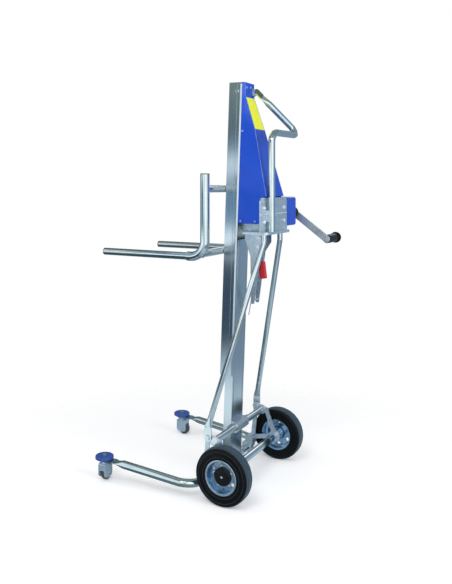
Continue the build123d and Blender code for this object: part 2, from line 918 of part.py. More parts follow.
def gear_outline(teeth, turn):
    """Spur gear with straight-sided teeth rounded to the rolling circle; turn in degrees."""
    pitch = gear_module * teeth / 2
    root = pitch - 1.25 * gear_module
    tip = pitch + gear_module
    step = 360.0 / teeth
    quarter = step / 4
    play = math.degrees(gear_play / pitch) / 2
    lean_in = math.degrees(gear_module * math.tan(math.radians(20)) / pitch)
    points = []
    for tooth in range(teeth):
        middle = turn + tooth * step
        flank = (
            (root, quarter + lean_in * 1.1),
            (pitch, quarter),
            (tip, quarter - lean_in * 1.15),
        )
        for radius, half_angle in flank:
            points.append((radius, middle - half_angle + play))
        for radius, half_angle in reversed(flank):
            points.append((radius, middle + half_angle - play))
    corners = [
        (radius * math.cos(math.radians(angle)), radius * math.sin(math.radians(angle)))
        for radius, angle in points
    ]
    return Polygon(*corners, align=None)


def line_of_centres():
    """Direction from the crank shaft to the drum shaft, in degrees, seen from the left."""
    return math.degrees(math.atan2(drum_z - crank_z, drum_y - crank_y))


def make_drum_gear():
    facing = line_of_centres() + 180.0
    outline = gear_outline(drum_teeth, facing + 180.0 / drum_teeth)
    web = Circle(drum_teeth * gear_module * 0.36) - Circle(shaft_radius * 1.9)
    gear = extrude(side_plane(gear_x - gear_width / 2, drum_y, drum_z) * outline, gear_width)
    recess = extrude(side_plane(gear_x + gear_width / 4, drum_y, drum_z) * web, gear_width)
    bore = rod_x(shaft_radius + run_gap, housing_outer_x, housing_inner_x, drum_y, drum_z)
    return gear - recess - bore


def make_pinion():
    outline = gear_outline(pinion_teeth, line_of_centres())
    low = gear_x - gear_width / 2 - sheet / 2
    gear = extrude(side_plane(low, crank_y, crank_z) * outline, gear_width + sheet)
    return gear - rod_x(shaft_radius + run_gap, housing_outer_x, housing_inner_x, crank_y, crank_z)


def make_drum():
    inner = strap_width / 2 + strap_play
    core = rod_x(drum_core_radius, -inner, inner, drum_y, drum_z)
    for x_low in (-inner - drum_flange, inner):
        flange = rod_x(drum_flange_radius, x_low, x_low + drum_flange, drum_y, drum_z)
        core += fillet(flange.edges().filter_by(GeomType.CIRCLE), drum_flange / 3)
    left_end = cheek_half_gap + cheek_sheet + sheet
    right_end = housing_outer_x + housing_wall + strap_play
    return core + rod_x(shaft_radius, right_end, left_end, drum_y, drum_z)


def make_strap_coil():
    return tube_x(
        coil_radius,
        drum_core_radius + run_gap,
        -strap_width / 2,
        strap_width / 2,
        drum_y,
        drum_z,
    )


def make_gear_housing():
    height = plate_top_z - housing_bottom_z
    depth = housing_rear_y - housing_front_y
    middle_y = (housing_rear_y + housing_front_y) / 2
    middle_z = (plate_top_z + housing_bottom_z) / 2
    outline = Pos(middle_y, middle_z) * RectangleRounded(depth, height, housing_corner)
    body = extrude(side_plane(housing_outer_x) * outline, amount=housing_length)
    outer_face = body.faces().sort_by(Axis.X)[0]
    body = fillet(outer_face.edges(), housing_corner / 3)
    inside = Pos(middle_y, middle_z) * RectangleRounded(
        depth - 2 * housing_wall, height - 2 * housing_wall, housing_corner - housing_wall
    )
    room_low = housing_outer_x + housing_wall
    room = extrude(side_plane(room_low) * inside, amount=housing_length - 2 * housing_wall)
    body -= room
    flute_count = 3
    pitch = housing_length / (flute_count + 1)
    for step in range(1, flute_count + 1):
        x = housing_outer_x + step * pitch
        flute = rod_z(
            flute_radius, housing_bottom_z - overrun, plate_top_z + overrun,
            x, housing_rear_y + flute_radius - flute_depth,
        )
        body -= flute
    body -= rod_x(shaft_radius + run_gap, room_low, 0, drum_y, drum_z)
    return body - rod_x(shaft_radius + run_gap, housing_outer_x - overrun, 0, crank_y, crank_z)


def make_crank_shaft():
    left_end = housing_inner_x - seat_gap
    return rod_x(shaft_radius, arm_x - arm_thickness, left_end, crank_y, crank_z)


def make_crank_bush():
    bore = shaft_radius + run_gap
    outer_end = housing_outer_x - bush_length + 2 * seat_gap
    bush = tube_x(bush_radius, bore, outer_end, housing_outer_x, crank_y, crank_z)
    ring = outer_end + bush_length / 3
    groove = tube_x(
        bush_radius + overrun, bush_radius - sheet, ring, ring + sheet, crank_y, crank_z
    )
    return bush - groove


def make_crank_arm():
    length = math.hypot(crank_reach_y, crank_drop_z)
    tilt = -math.degrees(math.atan2(crank_drop_z, crank_reach_y))
    bar = Rot(0, 0, tilt) * Pos(length / 2, 0) * SlotCenterToCenter(length, arm_width)
    low = arm_x - arm_thickness / 2
    arm = extrude(side_plane(low, crank_y, crank_z) * bar, amount=arm_thickness)
    arm = fillet(arm.faces().filter_by(Axis.X).edges(), arm_thickness / 5)
    arm += rod_x(arm_boss_radius, low - arm_boss_length, low, crank_y, crank_z)
    end_y = crank_y + crank_reach_y
    end_z = crank_z - crank_drop_z
    arm -= rod_x(shaft_radius + run_gap, arm_x - overrun, arm_x + overrun, crank_y, crank_z)
    return arm - rod_x(grip_pin_radius + run_gap, arm_x - overrun, arm_x + overrun, end_y, end_z)


def make_grip_pin():
    end_y = crank_y + crank_reach_y
    end_z = crank_z - crank_drop_z
    inner = arm_x + arm_thickness / 2
    pin = rod_x(grip_pin_radius, arm_x - knob_centre, inner, end_y, end_z)
    head = rod_x(grip_pin_radius + sheet, inner, inner + sheet, end_y, end_z)
    return pin + fillet(head.faces().sort_by(Axis.X)[-1].edges(), sheet / 2)


def make_crank_sleeve():
    end_y = crank_y + crank_reach_y
    end_z = crank_z - crank_drop_z
    start = arm_x - arm_thickness / 2 - seat_gap
    sleeve = rod_x(sleeve_radius, start - sleeve_length, start, end_y, end_z)
    sleeve = fillet(sleeve.edges().filter_by(GeomType.CIRCLE), sheet / 2)
    return sleeve - rod_x(grip_pin_radius + run_gap, start - 2 * sleeve_length, start, end_y, end_z)


def make_crank_knob():
    end_y = crank_y + crank_reach_y
    end_z = crank_z - crank_drop_z
    centre = arm_x - knob_centre
    sleeve_end = arm_x - arm_thickness / 2 - seat_gap - sleeve_length
    upper = Circle(knob_radius) & Pos(0, knob_radius) * Rectangle(
        2 * knob_radius, 2 * knob_radius
    )
    face = sleeve_end - centre
    upper -= Pos(face + knob_radius, 0) * Rectangle(2 * knob_radius, 4 * knob_radius)
    bore = grip_pin_radius + run_gap
    upper -= Pos(knob_radius - seat_gap, 0) * Rectangle(2 * knob_radius, 2 * bore)
    return Pos(centre, end_y, end_z) * revolve(upper, axis=Axis.X)


# Cover, handle and strap


def cover_solid(shrink, front_shift):
    """The wedge as one solid; shrink moves the sides and the rear face in."""
    levels = (
        (cover_bottom_z, cover_end_half, cover_end_y),
        (cover_end_z, cover_end_half, cover_end_y),
        (cover_flare_z, cover_flare_half, cover_flare_y),
        (cover_slope_z, cover_top_half, cover_top_y),
        (cover_top_z, cover_top_half, cover_top_y),
    )
    front_half = upper_width / 2 - mast_bevel_x
    sections = []
    for z, half, rear_y in levels:
        contact_y = mast_face_y(seat_gap, z)
        front_y = contact_y - front_shift
        spread = (half - front_half) / (rear_y - contact_y)
        front = front_half - spread * front_shift - shrink
        corners = [
            (-front, front_y),
            (front, front_y),
            (half - shrink, rear_y - shrink),
            (-half + shrink, rear_y - shrink),
        ]
        sections.append(Pos(0, 0, z) * Polygon(*corners, align=None))
    solid = Part()
    for low, high in zip(sections, sections[1:]):
        solid += loft([low, high], ruled=True)
    return solid


def make_belt_cover():
    outer = cover_solid(0, 0)
    inner = cover_solid(cover_sheet, seat_gap)
    inner &= block(
        -upper_width, upper_width, -upper_depth * 2, plate_half_width,
        0, cover_top_z - cover_sheet,
    )
    cover = outer - inner
    cover -= block(
        -plate_half_width - overrun,
        plate_half_width + overrun,
        plate_front_y - seat_gap,
        plate_half_width + overrun,
        cover_bottom_z - overrun,
        cover_end_z,
    )
    hole_radius = shaft_radius + shaft_hole_gap
    return cover - rod_x(hole_radius, housing_inner_x, -cheek_half_gap, drum_y, drum_z)


def handle_end_slope():
    """Direction in which the handle's sloping run rises to its top end."""
    corner = Vector(handle_corner_x, handle_corner_y, handle_bar_z)
    end = Vector(handle_end_x, handle_end_y, handle_end_z)
    return (end - corner).normalized()


def make_handle_tube():
    bottom = (handle_x, handle_y, handle_bottom_z)
    bend = (handle_x, handle_y, handle_bar_z)
    corner = (handle_corner_x, handle_corner_y, handle_bar_z)
    end = Vector(handle_end_x, handle_end_y, handle_end_z)
    slope = handle_end_slope()
    lead = end - slope * (flatten_length + handle_tab_length)
    tube = swept_tube(
        [bottom, bend, corner, tuple(lead)],
        [handle_bend, handle_corner_bend],
        handle_radius,
        handle_wall,
    )
    flat = lead + slope * flatten_length
    across = slope.cross(Vector(0, 1, 0)).normalized()
    cone = flattened_end(
        tuple(lead),
        tuple(flat),
        handle_radius,
        tuple(across),
        clip_width,
        handle_tab_thickness,
    )
    tab_plane = Plane(origin=tuple(flat), x_dir=tuple(slope), z_dir=slope.cross(across))
    tab_sketch = Pos(handle_tab_length / 2, 0) * Rectangle(handle_tab_length, clip_width)
    tab_sketch += Pos(handle_tab_length, 0) * Circle(clip_width / 2)
    tab = extrude(tab_plane * tab_sketch, amount=handle_tab_thickness / 2, both=True)
    return tube + cone + tab


def make_strap_rear():
    """The strap over the top pulley and down to the drum, traced along its middle line."""
    coil = coil_radius + seat_gap + strap_thickness / 2
    reach_y = drum_y - pulley_y
    reach_z = drum_z - pulley_z
    distance = math.hypot(reach_y, reach_z)
    towards = math.atan2(reach_z, reach_y)
    normal = towards + math.acos((strap_radius - coil) / distance)
    front_angle = math.pi - lean
    middle = (front_angle + normal) / 2
    line_points = []
    for angle in (front_angle, middle, normal):
        y = pulley_y + strap_radius * math.cos(angle)
        z = pulley_z + strap_radius * math.sin(angle)
        line_points.append((y, z))
    drum_point = (drum_y + coil * math.cos(normal), drum_z + coil * math.sin(normal))
    arc = ThreePointArc(*line_points)
    run = Line(line_points[-1], drum_point)
    strip = trace([arc, run], line_width=strap_thickness)
    return extrude(side_plane(-strap_width / 2) * strip, amount=strap_width)


def make_strap_front():
    low = tube_high_z + bar_over + seat_gap
    run = block(
        -strap_width / 2,
        strap_width / 2,
        strap_line - strap_thickness / 2,
        strap_line + strap_thickness / 2,
        low,
        pulley_height,
    )
    return mast_frame * run


def make_top_pulley():
    half = strap_width / 2 + strap_play / 2
    wheel = tube_x(pulley_radius, pulley_pin_radius + run_gap, -half, half, pulley_y, pulley_z)
    for x_low in (-half - pulley_flange, half):
        wheel += tube_x(
            pulley_flange_radius,
            pulley_pin_radius + run_gap,
            x_low,
            x_low + pulley_flange,
            pulley_y,
            pulley_z,
        )
    return wheel


def make_pulley_pin():
    half = upper_width / 2
    pin = rod_x(pulley_pin_radius, -half, half, pulley_y, pulley_z)
    head = rod_x(pulley_pin_head, half, half + pulley_pin_head_height, pulley_y, pulley_z)
    return pin + head + mirrored(head)


def make_handle_clip():
    cover_y = cover_top_y + seat_gap
    x_low = handle_end_x - clip_width / 2
    x_high = handle_end_x + clip_width / 2
    z_low = handle_end_z - clip_height / 2
    z_high = handle_end_z + clip_height / 2
    foot = block(x_low, x_high, cover_y, cover_y + clip_sheet, z_low, z_high)
    slope = handle_end_slope()
    across = slope.cross(Vector(0, 1, 0)).normalized()
    facing = slope.cross(across)
    seat = Vector(handle_end_x, handle_end_y, handle_end_z) + facing * (handle_tab_thickness / 2)
    boss_plane = Plane(origin=tuple(seat), x_dir=tuple(slope), z_dir=facing)
    boss = extrude(boss_plane * Circle(clip_bolt_radius * 2), amount=overrun)
    behind = block(
        x_low - overrun, x_high + overrun, mast_rear_y, cover_y, z_low - overrun, z_high
    )
    return foot + boss - behind


# Lifting frame


def sleeve_points(x):
    return [(x, fork_y, fork_top_z), (x, fork_y, fork_z), (x, sleeve_end_y, fork_z)]


def make_fork_tube(x):
    """A wide upright with a bend; the narrower fork is pushed into it and welded."""
    upright = swept_tube(sleeve_points(x), fork_bend, sleeve_radius, sleeve_wall)
    start = Plane(origin=(x, fork_y - fork_bend, fork_z), x_dir=(1, 0, 0), z_dir=(0, -1, 0))
    ring = Circle(fork_radius) - Circle(fork_radius - fork_wall)
    fork = extrude(start * ring, amount=fork_y - fork_bend - fork_tip_y)
    return upright + fork


def make_fork_plugs():
    plugs = []
    bore = fork_radius - fork_wall - run_gap
    top_bore = sleeve_radius - sleeve_wall - run_gap
    for x in (-fork_x, fork_x):
        top = rod_z(sleeve_radius, fork_top_z, fork_top_z + plug_flange, x, fork_y)
        top = fillet(top.faces().sort_by(Axis.Z)[-1].edges(), plug_flange / 2)
        top += rod_z(top_bore, fork_top_z - plug_depth, fork_top_z, x, fork_y)
        facing = Plane(origin=(x, fork_tip_y, fork_z), x_dir=(1, 0, 0), z_dir=(0, -1, 0))
        tip = extrude(facing * Circle(fork_radius), amount=plug_flange)
        tip = fillet(tip.faces().sort_by(Axis.Y)[0].edges(), plug_flange / 2)
        tip += extrude(facing * Circle(bore), amount=-plug_depth)
        plugs += [top, tip]
    return Part() + plugs


def make_carriage_tubes():
    """Two cross tubes whose ends are notched to fit against the fork tubes."""
    path = FilletPolyline(*sleeve_points(fork_x), radius=fork_bend)
    section = Plane(origin=path @ 0, z_dir=path % 0) * Circle(sleeve_radius + run_gap)
    notch = sweep(section, path=path)
    end_x = fork_x - sleeve_radius / 2
    tubes = []
    for y, z in ((tube_low_y, tube_low_z), (tube_high_y, tube_high_z)):
        tube = tube_x(fork_radius, fork_radius - fork_wall, -end_x, end_x, y, z)
        tube = tube - notch - mirrored(notch)
        tubes.append(tube.solids().sort_by(SortBy.VOLUME)[-1])
    return Part() + tubes


def make_carriage_bar():
    middle = (lip_back + web_front) / 2
    bar = block(
        -bar_width / 2,
        bar_width / 2,
        middle - bar_thickness / 2,
        middle + bar_thickness / 2,
        tube_low_z - bar_over,
        tube_high_z + bar_over,
    )
    bar = mast_frame * fillet(bar.edges().filter_by(Axis.Y), bar_thickness / 2)
    for y, z in ((tube_low_y, tube_low_z), (tube_high_y, tube_high_z)):
        stem_back = mast_face_y(middle, z)
        stem = block(
            -stem_width / 2, stem_width / 2, y, stem_back,
            z - stem_height / 2, z + stem_height / 2,
        )
        bar += stem - rod_x(fork_radius + run_gap, -stem_width, stem_width, y, z)
    return bar


def make_carriage_glides():
    middle = (lip_back + web_front) / 2
    half = (upper_width - 2 * upper_wall) / 2 - seat_gap
    glides = []
    lows = (
        tube_low_z - bar_over + bar_thickness,
        tube_high_z + bar_over - bar_thickness - glide_length,
    )
    bar_room = block(
        -bar_width / 2 - run_gap,
        bar_width / 2 + run_gap,
        middle - bar_thickness / 2 - run_gap,
        middle + bar_thickness / 2 + run_gap,
        lows[0] - overrun,
        lows[1] + overrun * 4,
    )
    for low in lows:
        for side in (-1, 1):
            inner = glide_inner * side
            outer = half * side
            pad = block(
                min(inner, outer),
                max(inner, outer),
                lip_back + seat_gap,
                web_front - seat_gap,
                low,
                low + glide_length,
            )
            glides.append(mast_frame * (pad - bar_room))
    return Part() + glides


# Release catch under the tray


def catch_outline():
    return Polygon(
        (mast_face_y(catch_front_gap, tray_z), tray_z),
        (lever_pivot_y - lever_width * 3, catch_block_z - catch_block_radius / 2),
        (lever_pivot_y - lever_width * 1.8, lever_pivot_z - 2 * lever_width),
        (lever_pivot_y - lever_width * 1.7, catch_tail_z),
        (lever_pivot_y - lever_width, catch_tail_z),
        (lever_pivot_y + lever_width / 2, lever_pivot_z - lever_width),
        (catch_block_y + 2 * catch_block_radius, catch_block_z - catch_block_radius),
        (catch_block_y + 2 * catch_block_radius, tray_z),
        align=None,
    )


def make_catch_bracket():
    outline = fillet(catch_outline().vertices(), catch_sheet)
    cheek = extrude(side_plane(catch_half_width - catch_sheet) * outline, amount=catch_sheet)
    web_low = mast_face_y(catch_front_gap, tray_z)
    web = block(
        -catch_half_width,
        catch_half_width,
        web_low,
        catch_block_y + 2 * catch_block_radius,
        tray_z - catch_sheet,
        tray_z,
    )
    tail_y = lever_pivot_y - lever_width * 1.4
    tie_radius = catch_pin_radius
    tie = rod_x(
        tie_radius, -catch_half_width, catch_half_width, tail_y, catch_tail_z + 3 * tie_radius
    )
    bracket = cheek + mirrored(cheek) + web + tie
    bracket -= rod_x(
        catch_pin_radius + run_gap, -upper_width, upper_width, lever_pivot_y, lever_pivot_z
    )
    return bracket - rod_x(
        catch_pin_radius + run_gap, -upper_width, upper_width, catch_block_y, catch_block_z
    )


def make_catch_block():
    half = catch_half_width - catch_sheet - seat_gap
    roller = rod_x(catch_block_radius, -half, half, catch_block_y, catch_block_z)
    roller = fillet(roller.edges().filter_by(GeomType.CIRCLE), sheet / 2)
    return roller - rod_x(
        catch_pin_radius + run_gap, -upper_width, upper_width, catch_block_y, catch_block_z
    )


def make_catch_pins():
    pins = []
    half = catch_half_width
    for y, z in ((catch_block_y, catch_block_z), (lever_pivot_y, lever_pivot_z)):
        pin = rod_x(catch_pin_radius, -half, half, y, z)
        head = rod_x(catch_pin_radius * 1.7, half, half + sheet, y, z)
        pins.append(pin + head + mirrored(head))
    return Part() + pins


def make_release_lever():
    pivot = (lever_pivot_y, lever_pivot_z)
    grip_end = (lever_grip_end_y, lever_grip_end_z + grip_depth)
    arm = trace(Line(pivot, grip_end), line_width=lever_width * 0.7)
    arm += Pos(*pivot) * Circle(lever_width / 2)
    nose = (lever_pivot_y - lever_width, lever_pivot_z + lever_width * 0.2)
    arm += trace(Line(pivot, nose), line_width=lever_width * 0.6)
    arm += Pos(*nose) * Circle(lever_width * 0.3)
    lever = extrude(side_plane(-lever_thickness / 2) * arm, amount=lever_thickness)
    return lever - rod_x(
        catch_pin_radius + run_gap, -upper_width, upper_width, lever_pivot_y, lever_pivot_z
    )


def make_lever_grip():
    top = Vector(0, lever_grip_top_y, lever_grip_top_z)
    end = Vector(0, lever_grip_end_y, lever_grip_end_z)
    axis = end - top
    section = Plane(origin=tuple(top), x_dir=(1, 0, 0), z_dir=axis) * RectangleRounded(
        grip_depth, grip_width, grip_depth / 3
    )
    grip = extrude(section, amount=axis.length)
    grip = fillet(grip.faces().sort_by(Axis.Z)[0].edges(), grip_depth / 4)
    return grip - make_release_lever()


def make_lever_spring():
    start = lever_thickness / 2 + seat_gap
    coil = tube_x(
        spring_radius,
        spring_radius - spring_wire,
        start,
        start + spring_length,
        lever_pivot_y,
        lever_pivot_z,
    )
    leg = block(
        start + spring_length - spring_wire,
        start + spring_length,
        lever_pivot_y - spring_radius,
        lever_pivot_y - spring_radius + spring_wire,
        lever_pivot_z,
        catch_block_z - catch_block_radius,
    )
    return coil + leg


fork_left = make_fork_tube(fork_x)
side_bracket = make_side_bracket()
tyre = make_tyre()
rim = make_rim()
hub_cap = make_hub_cap()
bumper = make_bumper_disc()
caster_pin = make_caster_pin()
caster_fork = make_caster_fork()
caster_wheel = make_caster_wheel()

nodes = {
    "leg_tube": make_leg_tube(),
    "leg_clamps": make_leg_clamps(),
    "side_bracket_left": side_bracket,
    "side_bracket_right": mirrored(side_bracket),
    "axle_rod": make_axle_rod(),
    "axle_tube": make_axle_tube(),
    "cross_tube": make_cross_tube(),
    "mast_saddle": make_mast_saddle(),
    "mast_foot": make_mast_foot(),
    "lower_mast": make_lower_mast(),
    "upper_mast": make_upper_mast(),
    "mast_cap": make_mast_cap(),
    "brace_left": make_brace(1),
    "brace_right": make_brace(-1),
    "frame_bolts": make_frame_bolts(),
    "winch_tray": make_winch_tray(),
    "winch_frame": make_winch_frame(),
    "winch_bolts": make_winch_bolts(),
    "gear_housing": make_gear_housing(),
    "crank_bush": make_crank_bush(),
    "belt_cover": make_belt_cover(),
    "handle_tube": make_handle_tube(),
    "handle_clip": make_handle_clip(),
    "pulley_pin": make_pulley_pin(),
    "strap_rear": make_strap_rear(),
    "strap_front": make_strap_front(),
    "catch_bracket": make_catch_bracket(),
    "catch_block": make_catch_block(),
    "catch_pins": make_catch_pins(),
    "lever_spring": make_lever_spring(),
    "bumper_discs": bumper + mirrored(bumper),
    "caster_pins": caster_pin + mirrored(caster_pin),
    "fork_tube_left": fork_left,
    "fork_tube_right": mirrored(fork_left),
    "carriage_tubes": make_carriage_tubes(),
    "carriage_bar": make_carriage_bar(),
    "carriage_glides": make_carriage_glides(),
    "fork_plugs": make_fork_plugs(),
    "top_pulley": make_top_pulley(),
    "drum": make_drum(),
    "drum_gear": make_drum_gear(),
    "strap_coil": make_strap_coil(),
    "crank_shaft": make_crank_shaft(),
    "pinion": make_pinion(),
    "crank_arm": make_crank_arm(),
    "grip_pin": make_grip_pin(),
    "crank_sleeve": make_crank_sleeve(),
    "crank_knob": make_crank_knob(),
    "release_lever": make_release_lever(),
    "lever_grip": make_lever_grip(),
    "rear_tyre_left": at_wheel(tyre),
    "rear_rim_left": at_wheel(rim),
    "rear_tyre_right": mirrored(at_wheel(tyre)),
    "rear_rim_right": mirrored(at_wheel(rim)),
    "hub_cap_left": at_wheel(hub_cap),
    "hub_cap_right": mirrored(at_wheel(hub_cap)),
    "caster_fork_left": at_left_caster(caster_fork),
    "caster_wheel_left": at_left_caster(caster_wheel),
    "caster_fork_right": at_right_caster(caster_fork),
    "caster_wheel_right": at_right_caster(caster_wheel),
}

home = Pos(-centre_x, -centre_y, 0)
for name, shape in nodes.items():
    export_step(home * shape, f"parts/{name}.step")
print(len(nodes), "nodes; origin shift", centre_x, centre_y)
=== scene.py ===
# %% [markdown]
# # Manual stacker, dressed for the photograph
# The solids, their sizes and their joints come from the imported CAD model. This notebook adds the
# finishes, the small fasteners and welds, and the studio. All lengths are written in millimetres
# and turned to metres once, by one function, so they can be read off a workshop drawing.

# %% Load the frame
import json
import math
import bpy
import bmesh
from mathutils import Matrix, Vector


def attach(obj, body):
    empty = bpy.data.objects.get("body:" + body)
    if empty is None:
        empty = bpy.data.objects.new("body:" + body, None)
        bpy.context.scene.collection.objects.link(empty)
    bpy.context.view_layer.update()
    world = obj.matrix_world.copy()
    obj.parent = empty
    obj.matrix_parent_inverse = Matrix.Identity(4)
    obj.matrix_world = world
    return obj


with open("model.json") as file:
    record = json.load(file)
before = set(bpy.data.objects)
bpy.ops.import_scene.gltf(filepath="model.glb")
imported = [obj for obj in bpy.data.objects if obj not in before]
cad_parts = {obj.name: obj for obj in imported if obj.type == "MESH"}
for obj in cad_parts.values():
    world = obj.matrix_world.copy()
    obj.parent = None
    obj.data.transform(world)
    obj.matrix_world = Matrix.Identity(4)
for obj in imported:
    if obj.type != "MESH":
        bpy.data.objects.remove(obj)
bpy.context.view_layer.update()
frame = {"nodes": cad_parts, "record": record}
nodes = frame["nodes"]
print("pieces from CAD:", len(nodes))

# %% [markdown]
# ## One frame of reference
# The drawing's own zero is the rear axle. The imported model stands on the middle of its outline
# instead, so `place` moves every point over by that shift and turns millimetres into metres.

# %% Units and places
MILLIMETRE = 0.001
AXLE_SHIFT = Vector((25.75, 159.5, 0.0))


def place(x, y, z):
    """A point of the drawing, in millimetres from the rear axle, as a point of the model."""
    return (Vector((x, y, z)) + AXLE_SHIFT) * MILLIMETRE


def linear(hex_code):
    """An sRGB colour such as '#2552C4' as the linear values that Blender's sockets expect."""
    channels = [int(hex_code[i:i + 2], 16) / 255 for i in (1, 3, 5)]
    curve = [c / 12.92 if c <= 0.04045 else ((c + 0.055) / 1.055) ** 2.4 for c in channels]
    return (*curve, 1.0)


# %% [markdown]
# ## Building materials
# Every finish is a small node tree. It could be joined by hand in the shader editor, but written
# out it can be read, compared and run again. `add` makes one node, sets its values and joins its
# inputs, so a material reads from top to bottom like a recipe. `finish` starts the tree with a
# Principled shader and the object's own coordinates in metres.

# %% Node helpers


def add(tree, kind, links=None, **settings):
    """Adds a node; settings fill its properties or unlinked inputs, links join its inputs."""
    node = tree.nodes.new(kind)
    for key, value in settings.items():
        if hasattr(node, key):
            setattr(node, key, value)
        else:
            node.inputs[key.replace("_", " ")].default_value = value
    for key, socket in (links or {}).items():
        tree.links.new(socket, node.inputs[key])
    return node


def finish(name, **settings):
    """A new material with a Principled shader, and the object's own coordinates."""
    material = bpy.data.materials.new(name)
    material.use_nodes = True
    tree = material.node_tree
    tree.nodes.clear()
    shader = add(tree, "ShaderNodeBsdfPrincipled", **settings)
    add(tree, "ShaderNodeOutputMaterial", {"Surface": shader.outputs[0]})
    where = add(tree, "ShaderNodeTexCoord").outputs["Object"]
    return material, tree, shader, where


def ramp(tree, socket, stops):
    """A colour ramp over a 0 to 1 value; stops are (position, hex colour)."""
    node = add(tree, "ShaderNodeValToRGB", {"Fac": socket})
    bands = node.color_ramp.elements
    while len(bands) < len(stops):
        bands.new(0.5)
    for band, (position, colour) in zip(bands, stops):
        band.position = position
        band.color = linear(colour)
    return node.outputs["Color"]


def spread(tree, socket, low, high):
    """Maps a 0 to 1 value to a range, such as one of roughness."""
    links = {"Value": socket}
    return add(tree, "ShaderNodeMapRange", links, To_Min=low, To_Max=high).outputs["Result"]


def bump(tree, shader, socket, height_mm, strength=1.0):
    """Turns a 0 to 1 value into relief of this height on the shader."""
    links = {"Height": socket}
    relief = add(tree, "ShaderNodeBump", links, Strength=strength, Distance=height_mm * MILLIMETRE)
    tree.links.new(relief.outputs["Normal"], shader.inputs["Normal"])


def per_metre(size_mm):
    """Texture scale that gives features of about this size."""
    return 1.0 / (size_mm * MILLIMETRE)


# %% [markdown]
# ## Bright zinc on tube
# The forks, legs, braces and handle are drawn steel tube, electroplated with zinc. The plating is
# bright but never a perfect mirror: it carries faint drawing lines, and a passivated film that
# shifts from bluish to straw. A picture of plating could be wrapped round the tubes, but noise on
# the object's own coordinates has no seam and passes every bend. So the metal stays nearly white,
# its roughness wanders a little, and a broad soft noise tints it.

# %% Zinc plated tube


def zinc_plated_tube():
    """Drawn steel tube under bright zinc: nearly a mirror, faintly blue, with fine draw lines."""
    material, tree, shader, where = finish("zinc_plated_tube", Metallic=1.0)
    film = add(tree, "ShaderNodeTexNoise", {"Vector": where}, Scale=per_metre(90), Detail=3.0)
    tint = ramp(tree, film.outputs["Fac"], [(0.3, "#BCC8CC"), (0.55, "#CDD5D6"), (0.75, "#C3C9C2")])
    tree.links.new(tint, shader.inputs["Base Color"])
    grain = add(tree, "ShaderNodeTexNoise", {"Vector": where}, Scale=per_metre(6), Detail=5.0)
    tree.links.new(spread(tree, grain.outputs["Fac"], 0.1, 0.2), shader.inputs["Roughness"])
    bump(tree, shader, grain.outputs["Fac"], 0.02, 0.25)
    return material


# %% [markdown]
# ## Galvanised sheet
# Brackets, tray and winch frame are folded from galvanised plate. Its zinc froze in crystals of
# about ten millimetres, the spangle, which a Voronoi pattern copies: each cell gets its own grey
# and its own roughness, as each crystal lies at its own angle. A picture of spangle would repeat
# over the plates, and cells don't.

# %% Galvanised sheet


def galvanised_sheet():
    """Folded plate under dipped zinc: pale and dull, with faint crystals that drift in shape."""
    material, tree, shader, where = finish("galvanised_sheet", Metallic=0.8)
    drift = add(tree, "ShaderNodeTexNoise", {"Vector": where}, Scale=per_metre(8), Detail=2.0)
    wobble = add(
        tree, "ShaderNodeVectorMath", {0: drift.outputs["Color"]}, operation="SCALE"
    )
    wobble.inputs["Scale"].default_value = 3 * MILLIMETRE
    moved = add(tree, "ShaderNodeVectorMath", {0: where, 1: wobble.outputs[0]})
    cells = add(tree, "ShaderNodeTexVoronoi", {"Vector": moved.outputs[0]}, Scale=per_metre(9))
    grey = add(tree, "ShaderNodeSeparateColor", {"Color": cells.outputs["Color"]})
    tint = ramp(tree, grey.outputs[0], [(0.0, "#BBCBD7"), (0.5, "#C5D3DE"), (1.0, "#D0DDE6")])
    tree.links.new(tint, shader.inputs["Base Color"])
    tree.links.new(spread(tree, grey.outputs[1], 0.27, 0.35), shader.inputs["Roughness"])
    bump(tree, shader, drift.outputs["Fac"], 0.05, 0.3)
    return material


# %% [markdown]
# ## Anodised extrusion
# The mast profiles were pressed through a die, which leaves fine lines along them, and then
# anodised to a satin silver. An anisotropic shader could draw out the reflections too, but the
# lines themselves would be missing, so a noise is stretched along Z. Real die lines lie a fraction
# of a millimetre apart. Here they lie about a millimetre apart, or the picture could not show them.

# %% Anodised aluminium


def anodised_aluminium():
    """Extruded profile with a satin skin: soft reflections, drawn out along the die lines."""
    material, tree, shader, where = finish("anodised_aluminium", Metallic=1.0)
    along = add(tree, "ShaderNodeMapping", {"Vector": where})
    along.inputs["Scale"].default_value = (per_metre(1.2), per_metre(1.2), per_metre(160))
    lines = add(tree, "ShaderNodeTexNoise", {"Vector": along.outputs[0]}, Scale=1.0, Detail=4.0)
    tint = ramp(tree, lines.outputs["Fac"], [(0.3, "#B6C1C8"), (0.7, "#CED6DA")])
    tree.links.new(tint, shader.inputs["Base Color"])
    tree.links.new(spread(tree, lines.outputs["Fac"], 0.16, 0.27), shader.inputs["Roughness"])
    bump(tree, shader, lines.outputs["Fac"], 0.02, 0.35)
    return material


# %% [markdown]
# ## Powder coat
# Cover and gear housing are sprayed with blue powder and baked. It melts to a glossy skin with a
# faint orange peel of a few millimetres. The colour is an ordinary pigment, so the shader is not
# metallic. Under the soft lights of a studio such a skin stays deep blue with hardly any glare,
# so both its specular level and its clear coat are kept low. The peel is only hundredths of a
# millimetre deep, so a bump in the shader shows it as well as a modelled surface would.

# %% Blue powder coat


